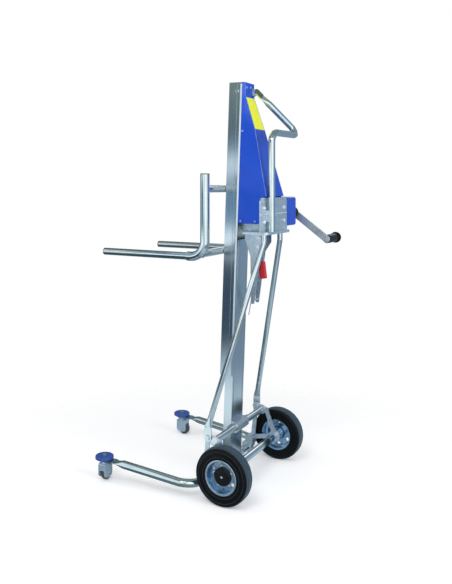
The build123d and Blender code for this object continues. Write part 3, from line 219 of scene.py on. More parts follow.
def blue_powder_coat():
    """Baked powder over sheet: one deep blue, a low gloss and a faint orange peel."""
    material, tree, shader, where = finish(
        "blue_powder_coat", Coat_Weight=0.05, Coat_Roughness=0.12, Specular_IOR_Level=0.27
    )
    cloud = add(tree, "ShaderNodeTexNoise", {"Vector": where}, Scale=per_metre(120), Detail=2.0)
    tint = ramp(tree, cloud.outputs["Fac"], [(0.3, "#1046C0"), (0.7, "#184EC9")])
    tree.links.new(tint, shader.inputs["Base Color"])
    peel = add(tree, "ShaderNodeTexNoise", {"Vector": where}, Scale=per_metre(2.5), Detail=1.0)
    tree.links.new(spread(tree, peel.outputs["Fac"], 0.26, 0.38), shader.inputs["Roughness"])
    bump(tree, shader, peel.outputs["Fac"], 0.03, 0.3)
    return material


# %% [markdown]
# ## One recipe for many small finishes
# The rest are moulded plastics, rubber and small steel. They differ in colour, in how rough they
# are and in the size of their grain, so one recipe serves them all: a base colour, a second one
# that mottles it, a roughness range and a grain with its real size.

# %% One recipe for the small finishes


def grained(name, colours, roughness, grain_mm, relief_mm, metallic=0.0, **settings):
    """A finish from two colours, a roughness range, and a grain of this size and relief."""
    material, tree, shader, where = finish(name, Metallic=metallic, **settings)
    grain = add(
        tree, "ShaderNodeTexNoise", {"Vector": where}, Scale=per_metre(grain_mm), Detail=4.0
    )
    tint = ramp(tree, grain.outputs["Fac"], [(0.3, colours[0]), (0.7, colours[1])])
    tree.links.new(tint, shader.inputs["Base Color"])
    tree.links.new(spread(tree, grain.outputs["Fac"], *roughness), shader.inputs["Roughness"])
    bump(tree, shader, grain.outputs["Fac"], relief_mm, 0.4)
    return material


# %% [markdown]
# ## Tyre rubber
# The tyre is black rubber with round grooves, which the CAD model already has. Its tread is also
# cut across by fine sipes. They could be cut into the mesh, but they are too shallow to change its
# outline. They follow the angle round the axle, so the pattern is a wave of that angle, worked out
# from the coordinates about the wheel's centre. Where it rolls, the tread is tinted a bluish grey,
# a painted reflection of the room.

# %% Black tyre rubber
WHEEL_RADIUS = 100.0
SIPES = 96
TREAD_BAND_FROM = 0.96 * WHEEL_RADIUS
TREAD_BAND_FULL = 0.985 * WHEEL_RADIUS


def tyre_rubber():
    """Vulcanised rubber: dull black, with a painted bluish grey reflection where it rolls."""
    material, tree, shader, where = finish("vulcanised_rubber", Specular_IOR_Level=0.16)
    centre = place(0, 0, WHEEL_RADIUS)
    local = add(tree, "ShaderNodeVectorMath", {0: where}, operation="SUBTRACT")
    local.inputs[1].default_value = centre
    axes = add(tree, "ShaderNodeSeparateXYZ", {"Vector": local.outputs[0]})
    angle = add(
        tree, "ShaderNodeMath", {0: axes.outputs["Z"], 1: axes.outputs["Y"]}, operation="ARCTAN2"
    )
    turns = add(tree, "ShaderNodeMath", {0: angle.outputs[0]}, operation="MULTIPLY")
    turns.inputs[1].default_value = SIPES
    wave = add(tree, "ShaderNodeMath", {0: turns.outputs[0]}, operation="SINE")
    reach = add(
        tree, "ShaderNodeCombineXYZ", {"Y": axes.outputs["Y"], "Z": axes.outputs["Z"]}
    )
    radius = add(tree, "ShaderNodeVectorMath", {0: reach.outputs[0]}, operation="LENGTH")
    links = {"Value": radius.outputs["Value"]}
    rim = add(
        tree,
        "ShaderNodeMapRange",
        links,
        From_Min=TREAD_BAND_FROM * MILLIMETRE,
        From_Max=TREAD_BAND_FULL * MILLIMETRE,
    )
    tread = add(
        tree, "ShaderNodeMath", {0: wave.outputs[0], 1: rim.outputs[0]}, operation="MULTIPLY"
    )
    dust = add(tree, "ShaderNodeTexNoise", {"Vector": where}, Scale=per_metre(30), Detail=4.0)
    tint = ramp(tree, dust.outputs["Fac"], [(0.35, "#040405"), (0.75, "#0A0B0C")])
    # Painted reflection: the tread band is tinted bluish grey, as the room mirrors in it.
    tread_reflection = add(tree, "ShaderNodeMix", {0: rim.outputs[0], 6: tint}, data_type="RGBA")
    tread_reflection.inputs[7].default_value = linear("#384956")
    tree.links.new(tread_reflection.outputs[2], shader.inputs["Base Color"])
    tree.links.new(spread(tree, dust.outputs["Fac"], 0.34, 0.5), shader.inputs["Roughness"])
    bump(tree, shader, tread.outputs[0], 0.5, 0.6)
    return material


# %% [markdown]
# ## Belt webbing
# The lifting belt is woven polyester, with warp yarns along it and weft yarns across it. Modelled
# yarns would take thousands of faces for a belt that is mostly hidden, so two crossed waves copy
# them. Real yarns lie a millimetre or two apart. Here they lie three and four millimetres apart,
# or the picture could not show them.

# %% Polyester webbing


def polyester_webbing():
    """Woven belt: nearly black, matt, with yarns that cross."""
    material, tree, shader, where = finish("polyester_webbing", Roughness=0.8)
    warp = add(tree, "ShaderNodeTexWave", {"Vector": where}, Scale=per_metre(9), Distortion=0.3)
    weft = add(
        tree, "ShaderNodeTexWave", {"Vector": where}, bands_direction="Z", Scale=per_metre(12)
    )
    weave = add(
        tree, "ShaderNodeMath", {0: warp.outputs["Fac"], 1: weft.outputs["Fac"]},
        operation="MULTIPLY",
    )
    tint = ramp(tree, weave.outputs[0], [(0.0, "#101114"), (1.0, "#2A2C31")])
    tree.links.new(tint, shader.inputs["Base Color"])
    bump(tree, shader, weave.outputs[0], 0.25, 0.8)
    return material


# %% The six finishes made above
zinc_tube = zinc_plated_tube()
galvanised = galvanised_sheet()
aluminium = anodised_aluminium()
powder_blue = blue_powder_coat()
tyre_black = tyre_rubber()
webbing = polyester_webbing()

# %% [markdown]
# ## Steel and zinc parts
# Hardly two steel parts on a machine like this come out of the same bath. The bolts are bright, the
# rims have the blue cast of their passivation, the pressed casters and the crank arm are duller,
# and the grip's sleeve is blackened. A lower metallic value stands in for a dull plating: part of
# the light then scatters as from paint, and the piece darkens less where the room is dark.

# %% Steel and zinc finishes
# Turned and bright plated: sharp small highlights on bolts, pins and rivets.
turned_steel = grained(
    "zinc_plated_steel", ("#C3CBD0", "#D6DBDE"), (0.2, 0.3), 4.0, 0.003, metallic=0.9
)
# Cut by a hob and oiled, never plated: darker and browner than the zinc.
gear_steel = grained(
    "hobbed_gear_steel", ("#85888A", "#A5A8A9"), (0.3, 0.45), 2.0, 0.01, metallic=1.0
)
# Pressed dish with a blue passivation: it mirrors the room in blue.
rim_zinc = grained(
    "blue_passivated_zinc", ("#8FADC8", "#B4CADB"), (0.12, 0.22), 9.0, 0.006, metallic=1.0
)
# The same zinc rubbed dull where the rim's lip is rolled over: a grey band round the blue.
lip_zinc = grained(
    "dulled_lip_zinc", ("#8C9DAA", "#A5B3BD"), (0.26, 0.36), 7.0, 0.004, metallic=0.7
)
# Pressed sheet with little polish: pale blue and soft, with no mirror image.
caster_zinc = grained(
    "pressed_caster_zinc", ("#A9C4DE", "#C6DAEA"), (0.2, 0.3), 5.0, 0.004, metallic=0.55
)
# Flat bar under a thin plating: an even light grey.
crank_steel = grained(
    "bright_crank_steel", ("#A3AEB8", "#B2BCC4"), (0.26, 0.32), 40.0, 0.004, metallic=0.6
)
# Blackened in a hot bath: as dark as the knob that it carries.
sleeve_black = grained(
    "blackened_steel_sleeve", ("#060607", "#0B0B0D"), (0.24, 0.34), 3.0, 0.005,
    Specular_IOR_Level=0.12,
)
# Near white zinc: a painted highlight on the rib's crest, the winch bolts and the catch pins.
near_white_highlight_zinc = grained(
    "painted_highlight_zinc", ("#DCE6EC", "#EEF3F6"), (0.2, 0.3), 6.0, 0.004, metallic=0.4
)
# Drops of weld under the plating: rough enough to read as a grainy line.
weld_zinc = grained(
    "plated_weld", ("#9AA8B0", "#C3CCD0"), (0.25, 0.45), 0.8, 0.02, metallic=1.0
)

# %% [markdown]
# ## Paint, plastic and rubber
# A moulded or dipped surface shows its pigment, with a soft gloss that grows as it is handled. The
# blacks are written darker than they look, because even black plastic sends some light back. The
# cover's folds and its screw heads are drawn in paler blues as a painted highlight, so edges and
# heads have blues of their own.

# %% Paint, plastic and rubber finishes
# Screw heads sprayed with the cover, in a paler blue: a painted highlight, light blue dots.
screw_highlight_blue = grained(
    "screw_head_highlight_blue", ("#5E86DC", "#86A6E8"), (0.22, 0.3), 2.0, 0.005, metallic=0.2
)
# A paler blue along the cover's folds: a painted highlight, a thin pale line along its edges.
fold_highlight_blue = grained(
    "fold_highlight_powder", ("#3C68DC", "#6D92EA"), (0.25, 0.35), 30.0, 0.01
)
# Moulded nylon for bushes, caps and plugs: black with a satin grain.
moulded_black = grained(
    "moulded_polyamide", ("#08080A", "#101012"), (0.32, 0.46), 0.8, 0.02, Specular_IOR_Level=0.25
)
# Pressed resin, polished by hands: black with one small highlight.
knob_black = grained(
    "phenolic_knob", ("#08080A", "#0F0F11"), (0.12, 0.2), 3.0, 0.005, Coat_Weight=0.05,
    Specular_IOR_Level=0.15,
)
# Moulded bumper discs: a greyer blue than the powder.
moulded_blue = grained("moulded_blue_abs", ("#1F448F", "#2A529F"), (0.32, 0.45), 1.0, 0.02)
# The roller block behind the mast, in the shade: the darkest blue, as painted shade.
shaded_catch_blue = grained("painted_shade_blue_polyamide", ("#16306A", "#203E80"), (0.35, 0.5), 1.0, 0.02)
# The raised edges on a tyre's side, where the mould closed: a shade lighter than the rest, as a
# painted highlight.
edge_highlight_rubber = grained("rubber_edge_highlight", ("#1A2026", "#242C34"), (0.3, 0.4), 3.0, 0.005)
# Cast caster tread: dark grey and dusty.
caster_grey = grained("caster_polyurethane", ("#3A3C3E", "#4B4E50"), (0.45, 0.6), 2.0, 0.03)
# A dipped grip: saturated red with a soft, slightly uneven skin.
grip_red = grained("dipped_red_vinyl", ("#B81522", "#CE2230"), (0.25, 0.38), 3.0, 0.03)
# A bare adhesive film: flat yellow with hardly any shine.
plate_yellow = grained("bare_yellow_film", ("#E8EE00", "#F0F60C"), (0.35, 0.45), 12.0, 0.01)
print("finishes:", len(bpy.data.materials))

# %% [markdown]
# ## Dress the CAD pieces
# Each piece could be painted by a line of its own, but tables show at a glance what shares a
# finish. One table gives the finish of each material slot. A second one names the pieces that
# differ from their slot: the blue rims, the pressed caster housings, the duller crank arm with its
# blackened sleeve, the roller block in a darker blue as painted shade, and the winch bolts and
# catch pins in near white as a painted highlight.

# %% Finish by piece
BY_SLOT = {
    "galvanised": galvanised,
    "zinc_tube": zinc_tube,
    "steel": turned_steel,
    "mast_aluminium": aluminium,
    "blue_paint": powder_blue,
    "blue_plastic": moulded_blue,
    "black_plastic": moulded_black,
    "caster_tread": caster_grey,
    "tyre": tyre_black,
    "webbing": webbing,
    "red_plastic": grip_red,
}
BY_PIECE = {
    # Painted shade: the roller block is a darker blue than the other blue plastic.
    "catch_block": shaded_catch_blue,
    "crank_knob": knob_black,
    "drum_gear": gear_steel,
    "pinion": gear_steel,
    "axle_tube": zinc_tube,
    "cross_tube": zinc_tube,
    "caster_fork_left": caster_zinc,
    "caster_fork_right": caster_zinc,
    "crank_arm": crank_steel,
    "crank_sleeve": sleeve_black,
    "mast_saddle": turned_steel,
    # Painted highlight: the winch bolts and catch pins are near white.
    "winch_bolts": near_white_highlight_zinc,
    "catch_pins": near_white_highlight_zinc,
    "rear_rim_left": rim_zinc,
    "rear_rim_right": rim_zinc,
}
for part in frame["record"]["subparts"]:
    piece = nodes[part["node"]]
    coat = BY_PIECE.get(piece.name, BY_SLOT[part["material_slot"]])
    piece.data.materials.clear()
    piece.data.materials.append(coat)

# %% [markdown]
# ## Small pieces in mesh code
# Screws, rivets, weld beads and the bare plate are not in the CAD model. Each is built as plain
# mesh in place, and `keep` gives it its finish and the body that carries it.

# %% Mesh helpers


def keep(piece, coat, body):
    """Gives a finished piece its finish and the body that carries it."""
    piece.data.materials.clear()
    piece.data.materials.append(coat)
    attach(piece, body)
    return piece


def object_from(mesh, name):
    """A new object in the scene from a mesh or a curve."""
    piece = bpy.data.objects.new(name, mesh)
    bpy.context.scene.collection.objects.link(piece)
    return piece


def turned_profile(profile, steps):
    """A closed turned shape about Z from (radius, height) pairs in millimetres."""
    work = bmesh.new()
    rings = []
    for radius, height in profile:
        if radius == 0:
            rings.append([work.verts.new((0, 0, height * MILLIMETRE))])
            continue
        ring = []
        for step in range(steps):
            turn = 2 * math.pi * step / steps
            x = radius * math.cos(turn) * MILLIMETRE
            y = radius * math.sin(turn) * MILLIMETRE
            ring.append(work.verts.new((x, y, height * MILLIMETRE)))
        rings.append(ring)
    for low, high in zip(rings, rings[1:]):
        for step in range(steps):
            after = (step + 1) % steps
            if len(low) == 1:
                work.faces.new((low[0], high[step], high[after]))
            elif len(high) == 1:
                work.faces.new((low[step], low[after], high[0]))
            else:
                work.faces.new((low[step], low[after], high[after], high[step]))
    bmesh.ops.recalc_face_normals(work, faces=work.faces)
    mesh = bpy.data.meshes.new("turned")
    work.to_mesh(mesh)
    work.free()
    for face in mesh.polygons:
        face.use_smooth = True
    return mesh


# %% [markdown]
# ## Fasteners, placed by Geometry Nodes
# A screw head is drawn once and then stands at many points. The points are the vertices of a
# small mesh that also stores which way each one faces. A loop could copy the head as well, but a
# node tree is what Blender has for this, and it keeps the head's size as an input. The tree
# instances the head there, turns it to face outwards, realizes the copies and sets the finish, so
# what leaves it is plain mesh.

# %% Geometry Nodes: a fastener at every point
HEAD_STEPS = 20


def fastener_tree(head, coat):
    """A tree that puts a head on every point it is given, turned outwards, in one finish."""
    tree = bpy.data.node_groups.new("fasteners", "GeometryNodeTree")
    socket = tree.interface.new_socket
    socket("Points", in_out="INPUT", socket_type="NodeSocketGeometry")
    socket("Head size", in_out="INPUT", socket_type="NodeSocketFloat")
    socket("Geometry", in_out="OUTPUT", socket_type="NodeSocketGeometry")
    given = add(tree, "NodeGroupInput")
    facing = add(tree, "GeometryNodeInputNamedAttribute", data_type="FLOAT_VECTOR", Name="facing")
    turn = add(
        tree, "FunctionNodeAlignRotationToVector", {"Vector": facing.outputs[0]}, axis="Z"
    )
    source = add(tree, "GeometryNodeObjectInfo", Object=head)
    copies = add(
        tree,
        "GeometryNodeInstanceOnPoints",
        {
            "Points": given.outputs["Points"],
            "Instance": source.outputs["Geometry"],
            "Rotation": turn.outputs[0],
            "Scale": given.outputs["Head size"],
        },
    )
    real = add(tree, "GeometryNodeRealizeInstances", {"Geometry": copies.outputs[0]})
    painted = add(
        tree, "GeometryNodeSetMaterial", {"Geometry": real.outputs[0]}, Material=coat
    )
    add(tree, "NodeGroupOutput", {"Geometry": painted.outputs[0]})
    return tree


def set_input(modifier, name, value):
    """Sets a modifier's input by the identifier of the socket with this name."""
    for item in modifier.node_group.interface.items_tree:
        if item.name == name and item.in_out == "INPUT":
            modifier[item.identifier] = value


def fasteners(name, head, size, spots, coat, body):
    """Copies of a head at (place, facing) spots, as one plain mesh that rides on a body."""
    mesh = bpy.data.meshes.new(name)
    mesh.from_pydata([tuple(spot) for spot, _ in spots], [], [])
    facing = mesh.attributes.new("facing", "FLOAT_VECTOR", "POINT")
    for index, (_, way) in enumerate(spots):
        facing.data[index].vector = way
    seeds = object_from(mesh, name + "_seeds")
    modifier = seeds.modifiers.new("place", "NODES")
    modifier.node_group = fastener_tree(head, coat)
    set_input(modifier, "Head size", size)
    graph = bpy.context.evaluated_depsgraph_get()
    result = bpy.data.meshes.new_from_object(seeds.evaluated_get(graph))
    bpy.data.objects.remove(seeds)
    piece = object_from(result, name)
    for face in piece.data.polygons:
        face.use_smooth = True
    print(name, "copies:", len(spots), "faces:", len(result.polygons))
    return keep(piece, coat, body)


# %% The heads that are copied
pan_head = object_from(
    turned_profile(
        [(0, -0.2), (1.0, -0.2), (1.0, 0.25), (0.8, 0.6), (0.4, 0.78), (0, 0.8)], HEAD_STEPS
    ),
    "pan_head",
)
rivet_head = object_from(
    turned_profile([(0, -0.1), (1.0, -0.1), (0.85, 0.35), (0.5, 0.6), (0, 0.68)], HEAD_STEPS),
    "rivet_head",
)


def hex_head():
    """A hexagon head on a washer, with a chamfered top, one millimetre from axis to corner."""
    work = bmesh.new()
    washer = turned_profile([(0, -0.15), (1.3, -0.15), (1.3, 0.1), (0, 0.1)], HEAD_STEPS)
    work.from_mesh(washer)
    sides = 6
    levels = [(1.0, 0.1), (1.0, 0.75), (0.86, 0.9)]
    rings = []
    for radius, height in levels:
        ring = []
        for step in range(sides):
            turn = 2 * math.pi * step / sides
            point = Vector((radius * math.cos(turn), radius * math.sin(turn), height))
            ring.append(work.verts.new(point * MILLIMETRE))
        rings.append(ring)
    for low, high in zip(rings, rings[1:]):
        for step in range(sides):
            after = (step + 1) % sides
            work.faces.new((low[step], low[after], high[after], high[step]))
    work.faces.new(rings[-1])
    work.faces.new(list(reversed(rings[0])))
    bmesh.ops.recalc_face_normals(work, faces=work.faces)
    mesh = bpy.data.meshes.new("hex_head")
    work.to_mesh(mesh)
    work.free()
    return object_from(mesh, "hex_head")


hexagon_head = hex_head()

# %% [markdown]
# ## The belt cover's screws and its bare plate
# Small pan heads, sprayed in the cover's own blue, hold it to the mast and to the winch frame. A
# bare yellow plate sits on its sloping back. A decal could be painted in the shader, but a thin
# body with its own edge catches light as film does, so the plate is built as a mesh: its four
# corners follow the slope of the cover, and its thickness is modelled.

# %% Cover geometry in millimetres, as in the drawing
LEVELS = ((1471.0, 37.0, -14.0), (1421.0, 37.0, -14.0), (1290.0, 44.0, 29.0), (1051.0, 79.0, 88.0))
MAST_HALF = 50.0
MAST_REAR = -76.0
MAST_LEAN = math.radians(2.1)


def cover_edge(z):
    """Half width and y of the cover's rear edge at this height."""
    for (high, half_high, y_high), (low, half_low, y_low) in zip(LEVELS, LEVELS[1:]):
        if z >= low:
            share = (z - low) / (high - low)
            return half_low + share * (half_high - half_low), y_low + share * (y_high - y_low)
    return LEVELS[-1][1:]


def mast_rear_y(z):
    """Y of the mast's rear face at this height, which grows as the mast leans back."""
    return MAST_REAR + z * math.tan(MAST_LEAN)


def side_spot(share, z, side):
    """A spot on the cover's side wall, and which way that wall faces there."""
    half, rear = cover_edge(z)
    front = mast_rear_y(z)
    x = MAST_HALF + share * (half - MAST_HALF)
    y = front + share * (rear - front)
    outwards = Vector((rear - front, MAST_HALF - half, 0)).normalized()
    return place(side * x, y, z), Vector((side * outwards.x, outwards.y, 0))


def back_spot(share, z):
    """A spot on the cover's rear wall; share runs from -1, right, to 1, left."""
    half, rear = cover_edge(z)
    _, lower = cover_edge(z - 1.0)
    return place(share * half, rear, z), Vector((0, 1, lower - rear)).normalized()


SIDE_SCREWS = ((0.12, 960.0), (0.62, 960.0), (0.14, 1290.0))
BACK_SCREWS = ((-0.1, 1455.0), (0.75, 1452.0))
COVER_SCREW = 5.0
cover_spots = [side_spot(share, z, side) for side in (1, -1) for share, z in SIDE_SCREWS]
cover_spots += [back_spot(share, z) for share, z in BACK_SCREWS]
# Painted highlight: the screw heads are a paler blue than the cover.
fasteners("cover_screws", pan_head, COVER_SCREW, cover_spots, screw_highlight_blue, "frame")

# %% The bare yellow plate
PLATE_TOP = 1416.0
PLATE_BOTTOM = 1297.0
PLATE_MARGIN = 3.0
PLATE_SEAT = 0.05
PLATE_LIFT = 0.6


def bare_plate():
    """A thin plate with four corners that follow the cover's slope."""
    half_top, y_top = cover_edge(PLATE_TOP)
    half_low, y_low = cover_edge(PLATE_BOTTOM)
    work = bmesh.new()
    layers = []
    for lift in (PLATE_SEAT, PLATE_LIFT):
        corners = [
            place(half_low - PLATE_MARGIN, y_low + lift, PLATE_BOTTOM),
            place(-half_low + PLATE_MARGIN, y_low + lift, PLATE_BOTTOM),
            place(-half_top + PLATE_MARGIN, y_top + lift, PLATE_TOP),
            place(half_top - PLATE_MARGIN, y_top + lift, PLATE_TOP),
        ]
        layers.append([work.verts.new(corner) for corner in corners])
    inner, outer = layers
    work.faces.new(outer)
    work.faces.new(list(reversed(inner)))
    for step in range(len(outer)):
        after = (step + 1) % len(outer)
        work.faces.new((inner[step], inner[after], outer[after], outer[step]))
    bmesh.ops.recalc_face_normals(work, faces=work.faces)
    mesh = bpy.data.meshes.new("bare_plate")
    work.to_mesh(mesh)
    work.free()
    return object_from(mesh, "bare_plate")


keep(bare_plate(), plate_yellow, "frame")

# %% [markdown]
# ## Folded edges, the plate's rib and the release wire
# The cover is folded from sheet, so its bends and its rolled hem catch a line of light, and so does
# the crest of the rib that stiffens the winch plate. The beads on the bends are also a paler blue
# and the crest's bead is near white, each a painted highlight. A Bevel modifier could round these
# edges, but a CAD piece is loose triangles, which it can't follow. So each is a round bead along
# the edge, swept from a curve and sunk in it for most of its width. The same sweep makes the thin
# wire that hangs from the bracket, and the caps that close the ends of the cross tube.

# %% Swept beads


def swept(name, runs, radius, coat, body, steps=5):
    """Round beads along polylines, given as lists of millimetre points, as one plain mesh."""
    path = bpy.data.curves.new(name + "_path", "CURVE")
    path.dimensions = "3D"
    path.bevel_depth = radius * MILLIMETRE
    path.bevel_resolution = steps
    path.use_fill_caps = True
    for run in runs:
        line = path.splines.new("POLY")
        line.points.add(len(run) - 1)
        for point, spot in zip(line.points, run):
            point.co = (*place(*spot), 1.0)
    drawn = object_from(path, name + "_path")
    graph = bpy.context.evaluated_depsgraph_get()
    mesh = bpy.data.meshes.new_from_object(drawn.evaluated_get(graph))
    bpy.data.objects.remove(drawn)
    piece = object_from(mesh, name)
    for face in mesh.polygons:
        face.use_smooth = True
    print(name, "runs:", len(runs), "faces:", len(mesh.polygons))
    return keep(piece, coat, body)


# %% The cover's hem and folds
COVER_LOW = 952.0
COVER_JOIN = 80.0
HEM_RADIUS = 2.6
HEM_SHORT = 1.0
FOLD_RADIUS = 1.1
FOLD_SUNK = 0.4
hem_runs = []
fold_runs = []
for side in (1, -1):
    wall_half, wall_rear = cover_edge(COVER_LOW)
    wall_front = mast_rear_y(COVER_LOW)
    share = (COVER_JOIN - wall_front) / (wall_rear - wall_front)
    join_half = MAST_HALF + share * (wall_half - MAST_HALF)
    hem_runs.append([
        (side * MAST_HALF, wall_front + HEM_RADIUS, COVER_LOW + HEM_RADIUS),
        (side * join_half, COVER_JOIN - HEM_SHORT, COVER_LOW + HEM_RADIUS),
    ])
    fold_runs.append([
        (side * (half - FOLD_SUNK), rear - FOLD_SUNK, z) for z, half, rear in LEVELS
    ])
swept("cover_hem", hem_runs, HEM_RADIUS, powder_blue, "frame")
# Painted highlight: the fold beads are a paler blue than the cover.
swept("cover_folds", fold_runs, FOLD_RADIUS, fold_highlight_blue, "frame")

# %% The rib's crest and the wire
RIB_CREST_Y = 87.9
RIB_CREST_Z = 988.0
RIB_RUNS = ((-107.0, 46.0), (74.0, 107.0))
RIB_BEAD = 1.5
crest_runs = [
    [(low, RIB_CREST_Y, RIB_CREST_Z), (high, RIB_CREST_Y, RIB_CREST_Z)] for low, high in RIB_RUNS
]
# Painted highlight: the crest's bead is near white, a line of light along the rib.
swept("plate_rib_crest", crest_runs, RIB_BEAD, near_white_highlight_zinc, "frame")

WIRE_RADIUS = 1.6
WIRE_X = 14.0
wire_run = [(WIRE_X, 2.0, 700.0), (WIRE_X, -4.0, 655.0), (WIRE_X, -12.0, 612.0)]
swept("release_wire", [wire_run], WIRE_RADIUS, zinc_tube, "frame")

# %% The cross tube's closed ends
CROSS_TUBE_RADIUS = 12.5
CROSS_TUBE_Z = 196.0
CROSS_TUBE_GAP = 0.3
CROSS_TUBE_Y = mast_rear_y(CROSS_TUBE_Z) + CROSS_TUBE_RADIUS + CROSS_TUBE_GAP
CAP_INNER = 199.0
CAP_OUTER = 200.6
end_caps = [
    [(side * x, CROSS_TUBE_Y, CROSS_TUBE_Z) for x in (CAP_INNER, CAP_OUTER)] for side in (1, -1)
]
swept("cross_tube_ends", end_caps, CROSS_TUBE_RADIUS, zinc_tube, "frame", steps=8)

# %% [markdown]
# ## Weld beads
# The tubes are welded where they meet. A bead is a row of small overlapping drops that follows
# the seam. A bump in the shader could hint at it, but modelled drops show in the outline too. On
# the lifting frame the seam is where a round cross tube enters a round fork tube, so each drop's
# place comes from both circles.

# %% The drop, and the shape of a fork tube
DROPS = 40
DROP_SIZE = 1.5
DROP_STEPS = 8
DROP_PROFILE = [(0, -1.0), (0.7, -0.7), (1.0, 0), (0.7, 0.7), (0, 1.0)]
bead_drop = object_from(turned_profile(DROP_PROFILE, DROP_STEPS), "bead_drop")
FORK_X = 190.0
FORK_Y = -99.0
FORK_Z = 837.0
FORK_BEND = 57.0
FORK_RADIUS = 13.5
SLEEVE_RADIUS = 16.8
SLEEVE_END = -170.0


def fork_reach(y, z):
    """Half of the fork tube's width in X where it is seen from the side at this y and z."""
    centre = FORK_Z + FORK_BEND
    if z >= centre:
        off = y - FORK_Y
    else:
        off = math.hypot(y - (FORK_Y - FORK_BEND), z - centre) - FORK_BEND
    return math.sqrt(max(SLEEVE_RADIUS ** 2 - off ** 2, 0.0))


# %% Seams of the lifting frame
RUNG_HEIGHTS = (848.0, 1079.0)
MAST_DEPTH = 51.5
RUNG_GAP = 1.5
SEAM_LIFT = 0.4
carriage_seams = []
for high in RUNG_HEIGHTS:
    middle = mast_rear_y(high) - (MAST_DEPTH + RUNG_GAP + FORK_RADIUS) / math.cos(MAST_LEAN)
    for side in (1, -1):
        for drop in range(DROPS):
            turn = 2 * math.pi * drop / DROPS
            y = middle + (FORK_RADIUS + SEAM_LIFT) * math.cos(turn)
            z = high + (FORK_RADIUS + SEAM_LIFT) * math.sin(turn)
            way = Vector((0, math.cos(turn), math.sin(turn)))
            carriage_seams.append((place(side * (FORK_X - fork_reach(y, z)), y, z), way))
for side in (1, -1):
    for drop in range(DROPS):
        turn = 2 * math.pi * drop / DROPS
        way = Vector((math.cos(turn), 0, math.sin(turn)))
        spot = Vector((side * FORK_X, SLEEVE_END, FORK_Z)) + way * FORK_RADIUS
        carriage_seams.append((place(*spot), way))
fasteners(
    "carriage_welds", bead_drop, DROP_SIZE, carriage_seams, weld_zinc, "carriage"
)

# %% Seams of the frame


def ring(x, y, z, axis, radius, drops=DROPS):
    """Drops in a circle about an axis, 0 for X or 2 for Z, each facing outwards."""
    spots = []
    for drop in range(drops):
        turn = 2 * math.pi * drop / drops
        a, b = math.cos(turn), math.sin(turn)
        way = Vector((0, a, b)) if axis == 0 else Vector((a, b, 0))
        spots.append((place(x + radius * way.x, y + radius * way.y, z + radius * way.z), way))
    return spots


SIDE_BRACKET_FACE = 194.6
HANDLE_FOOT = (60.0, 100.8, 925.4)
HANDLE_RADIUS = 12.5
TRAY_REAR_Y = 105.0
BRACE_HEAD = (72.0, 76.0, 920.4)
BRACE_RADIUS = 10.0
frame_seams = []
for side in (1, -1):
    bracket_face = side * SIDE_BRACKET_FACE
    frame_seams += ring(bracket_face, CROSS_TUBE_Y, CROSS_TUBE_Z, 0, CROSS_TUBE_RADIUS)
tray_rear = place(0, TRAY_REAR_Y, 0).y
frame_seams += [spot for spot in ring(*HANDLE_FOOT, 2, HANDLE_RADIUS) if spot[0].y < tray_rear]
for side in (1, -1):
    frame_seams += ring(side * BRACE_HEAD[0], *BRACE_HEAD[1:], 2, BRACE_RADIUS)
fasteners("frame_welds", bead_drop, DROP_SIZE, frame_seams, weld_zinc, "frame")

# %% [markdown]
# ## Bolts on wheels, casters and bracket
# Each rim has a rolled lip and is bolted to its hub by five hexagon heads. The tyre's side has two
# raised edges, one on each side of its grooves, and a screw holds the black cap. The caster
# wheels turn on riveted pins. Lips and edges could be turned from a profile, but they are round
# beads, so a circle and a radius describe them. Each piece rides on the body that it belongs to,
# so the lugs go round with the wheel and the rivets swivel with the caster.

# %% Lips, edges and lug bolts of the wheels
WHEEL_X = 234.5
TYRE_HALF = 25.0
LUGS = 5
LUG_CIRCLE = 37.0
LUG_SIZE = 4.2
LUG_FACE_SHARE = 0.3
LUG_TURN_SHARE = 0.35
CAP_FACE_SHARE = 0.62
CAP_LIFT = 1.0
CAP_SCREW = 4.5
LIP_RADIUS = 56.4
LIP_BEAD = 3.2
LIP_SUNK = 2.0
EDGE_RADII = (69.3, 85.5)
EDGE_BEAD = 0.9
EDGE_SUNK = 0.3
RING_STEPS = 72


def wheel_ring(side, radius, sunk):
    """A circle about a wheel's axle, sunk by this much in the tyre's outer side."""
    x = side * (WHEEL_X + TYRE_HALF - sunk)
    turns = [2 * math.pi * step / RING_STEPS for step in range(RING_STEPS + 1)]
    return [
        (x, radius * math.cos(turn), WHEEL_RADIUS + radius * math.sin(turn)) for turn in turns
    ]


for side, name in ((1, "left"), (-1, "right")):
    way = Vector((side, 0, 0))
    face = side * (WHEEL_X + LUG_FACE_SHARE * TYRE_HALF)
    lugs = []
    for step in range(LUGS):
        turn = 2 * math.pi * (step + LUG_TURN_SHARE) / LUGS
        y = LUG_CIRCLE * math.cos(turn)
        z = WHEEL_RADIUS + LUG_CIRCLE * math.sin(turn)
        lugs.append((place(face, y, z), way))
    body = "wheel_" + name
    fasteners("lug_bolts_" + name, hexagon_head, LUG_SIZE, lugs, turned_steel, body)
    lip = wheel_ring(side, LIP_RADIUS, LIP_SUNK)
    swept("rim_lip_" + name, [lip], LIP_BEAD, lip_zinc, body)
    edges = [wheel_ring(side, radius, EDGE_SUNK) for radius in EDGE_RADII]
    # Painted highlight: the tyre's raised edges are lighter than its black.
    swept("tyre_edges_" + name, edges, EDGE_BEAD, edge_highlight_rubber, body, steps=2)
    cap = place(side * (WHEEL_X + CAP_FACE_SHARE * TYRE_HALF + CAP_LIFT), 0, WHEEL_RADIUS)
    fasteners("cap_screw_" + name, pan_head, CAP_SCREW, [(cap, way)], turned_steel, body)

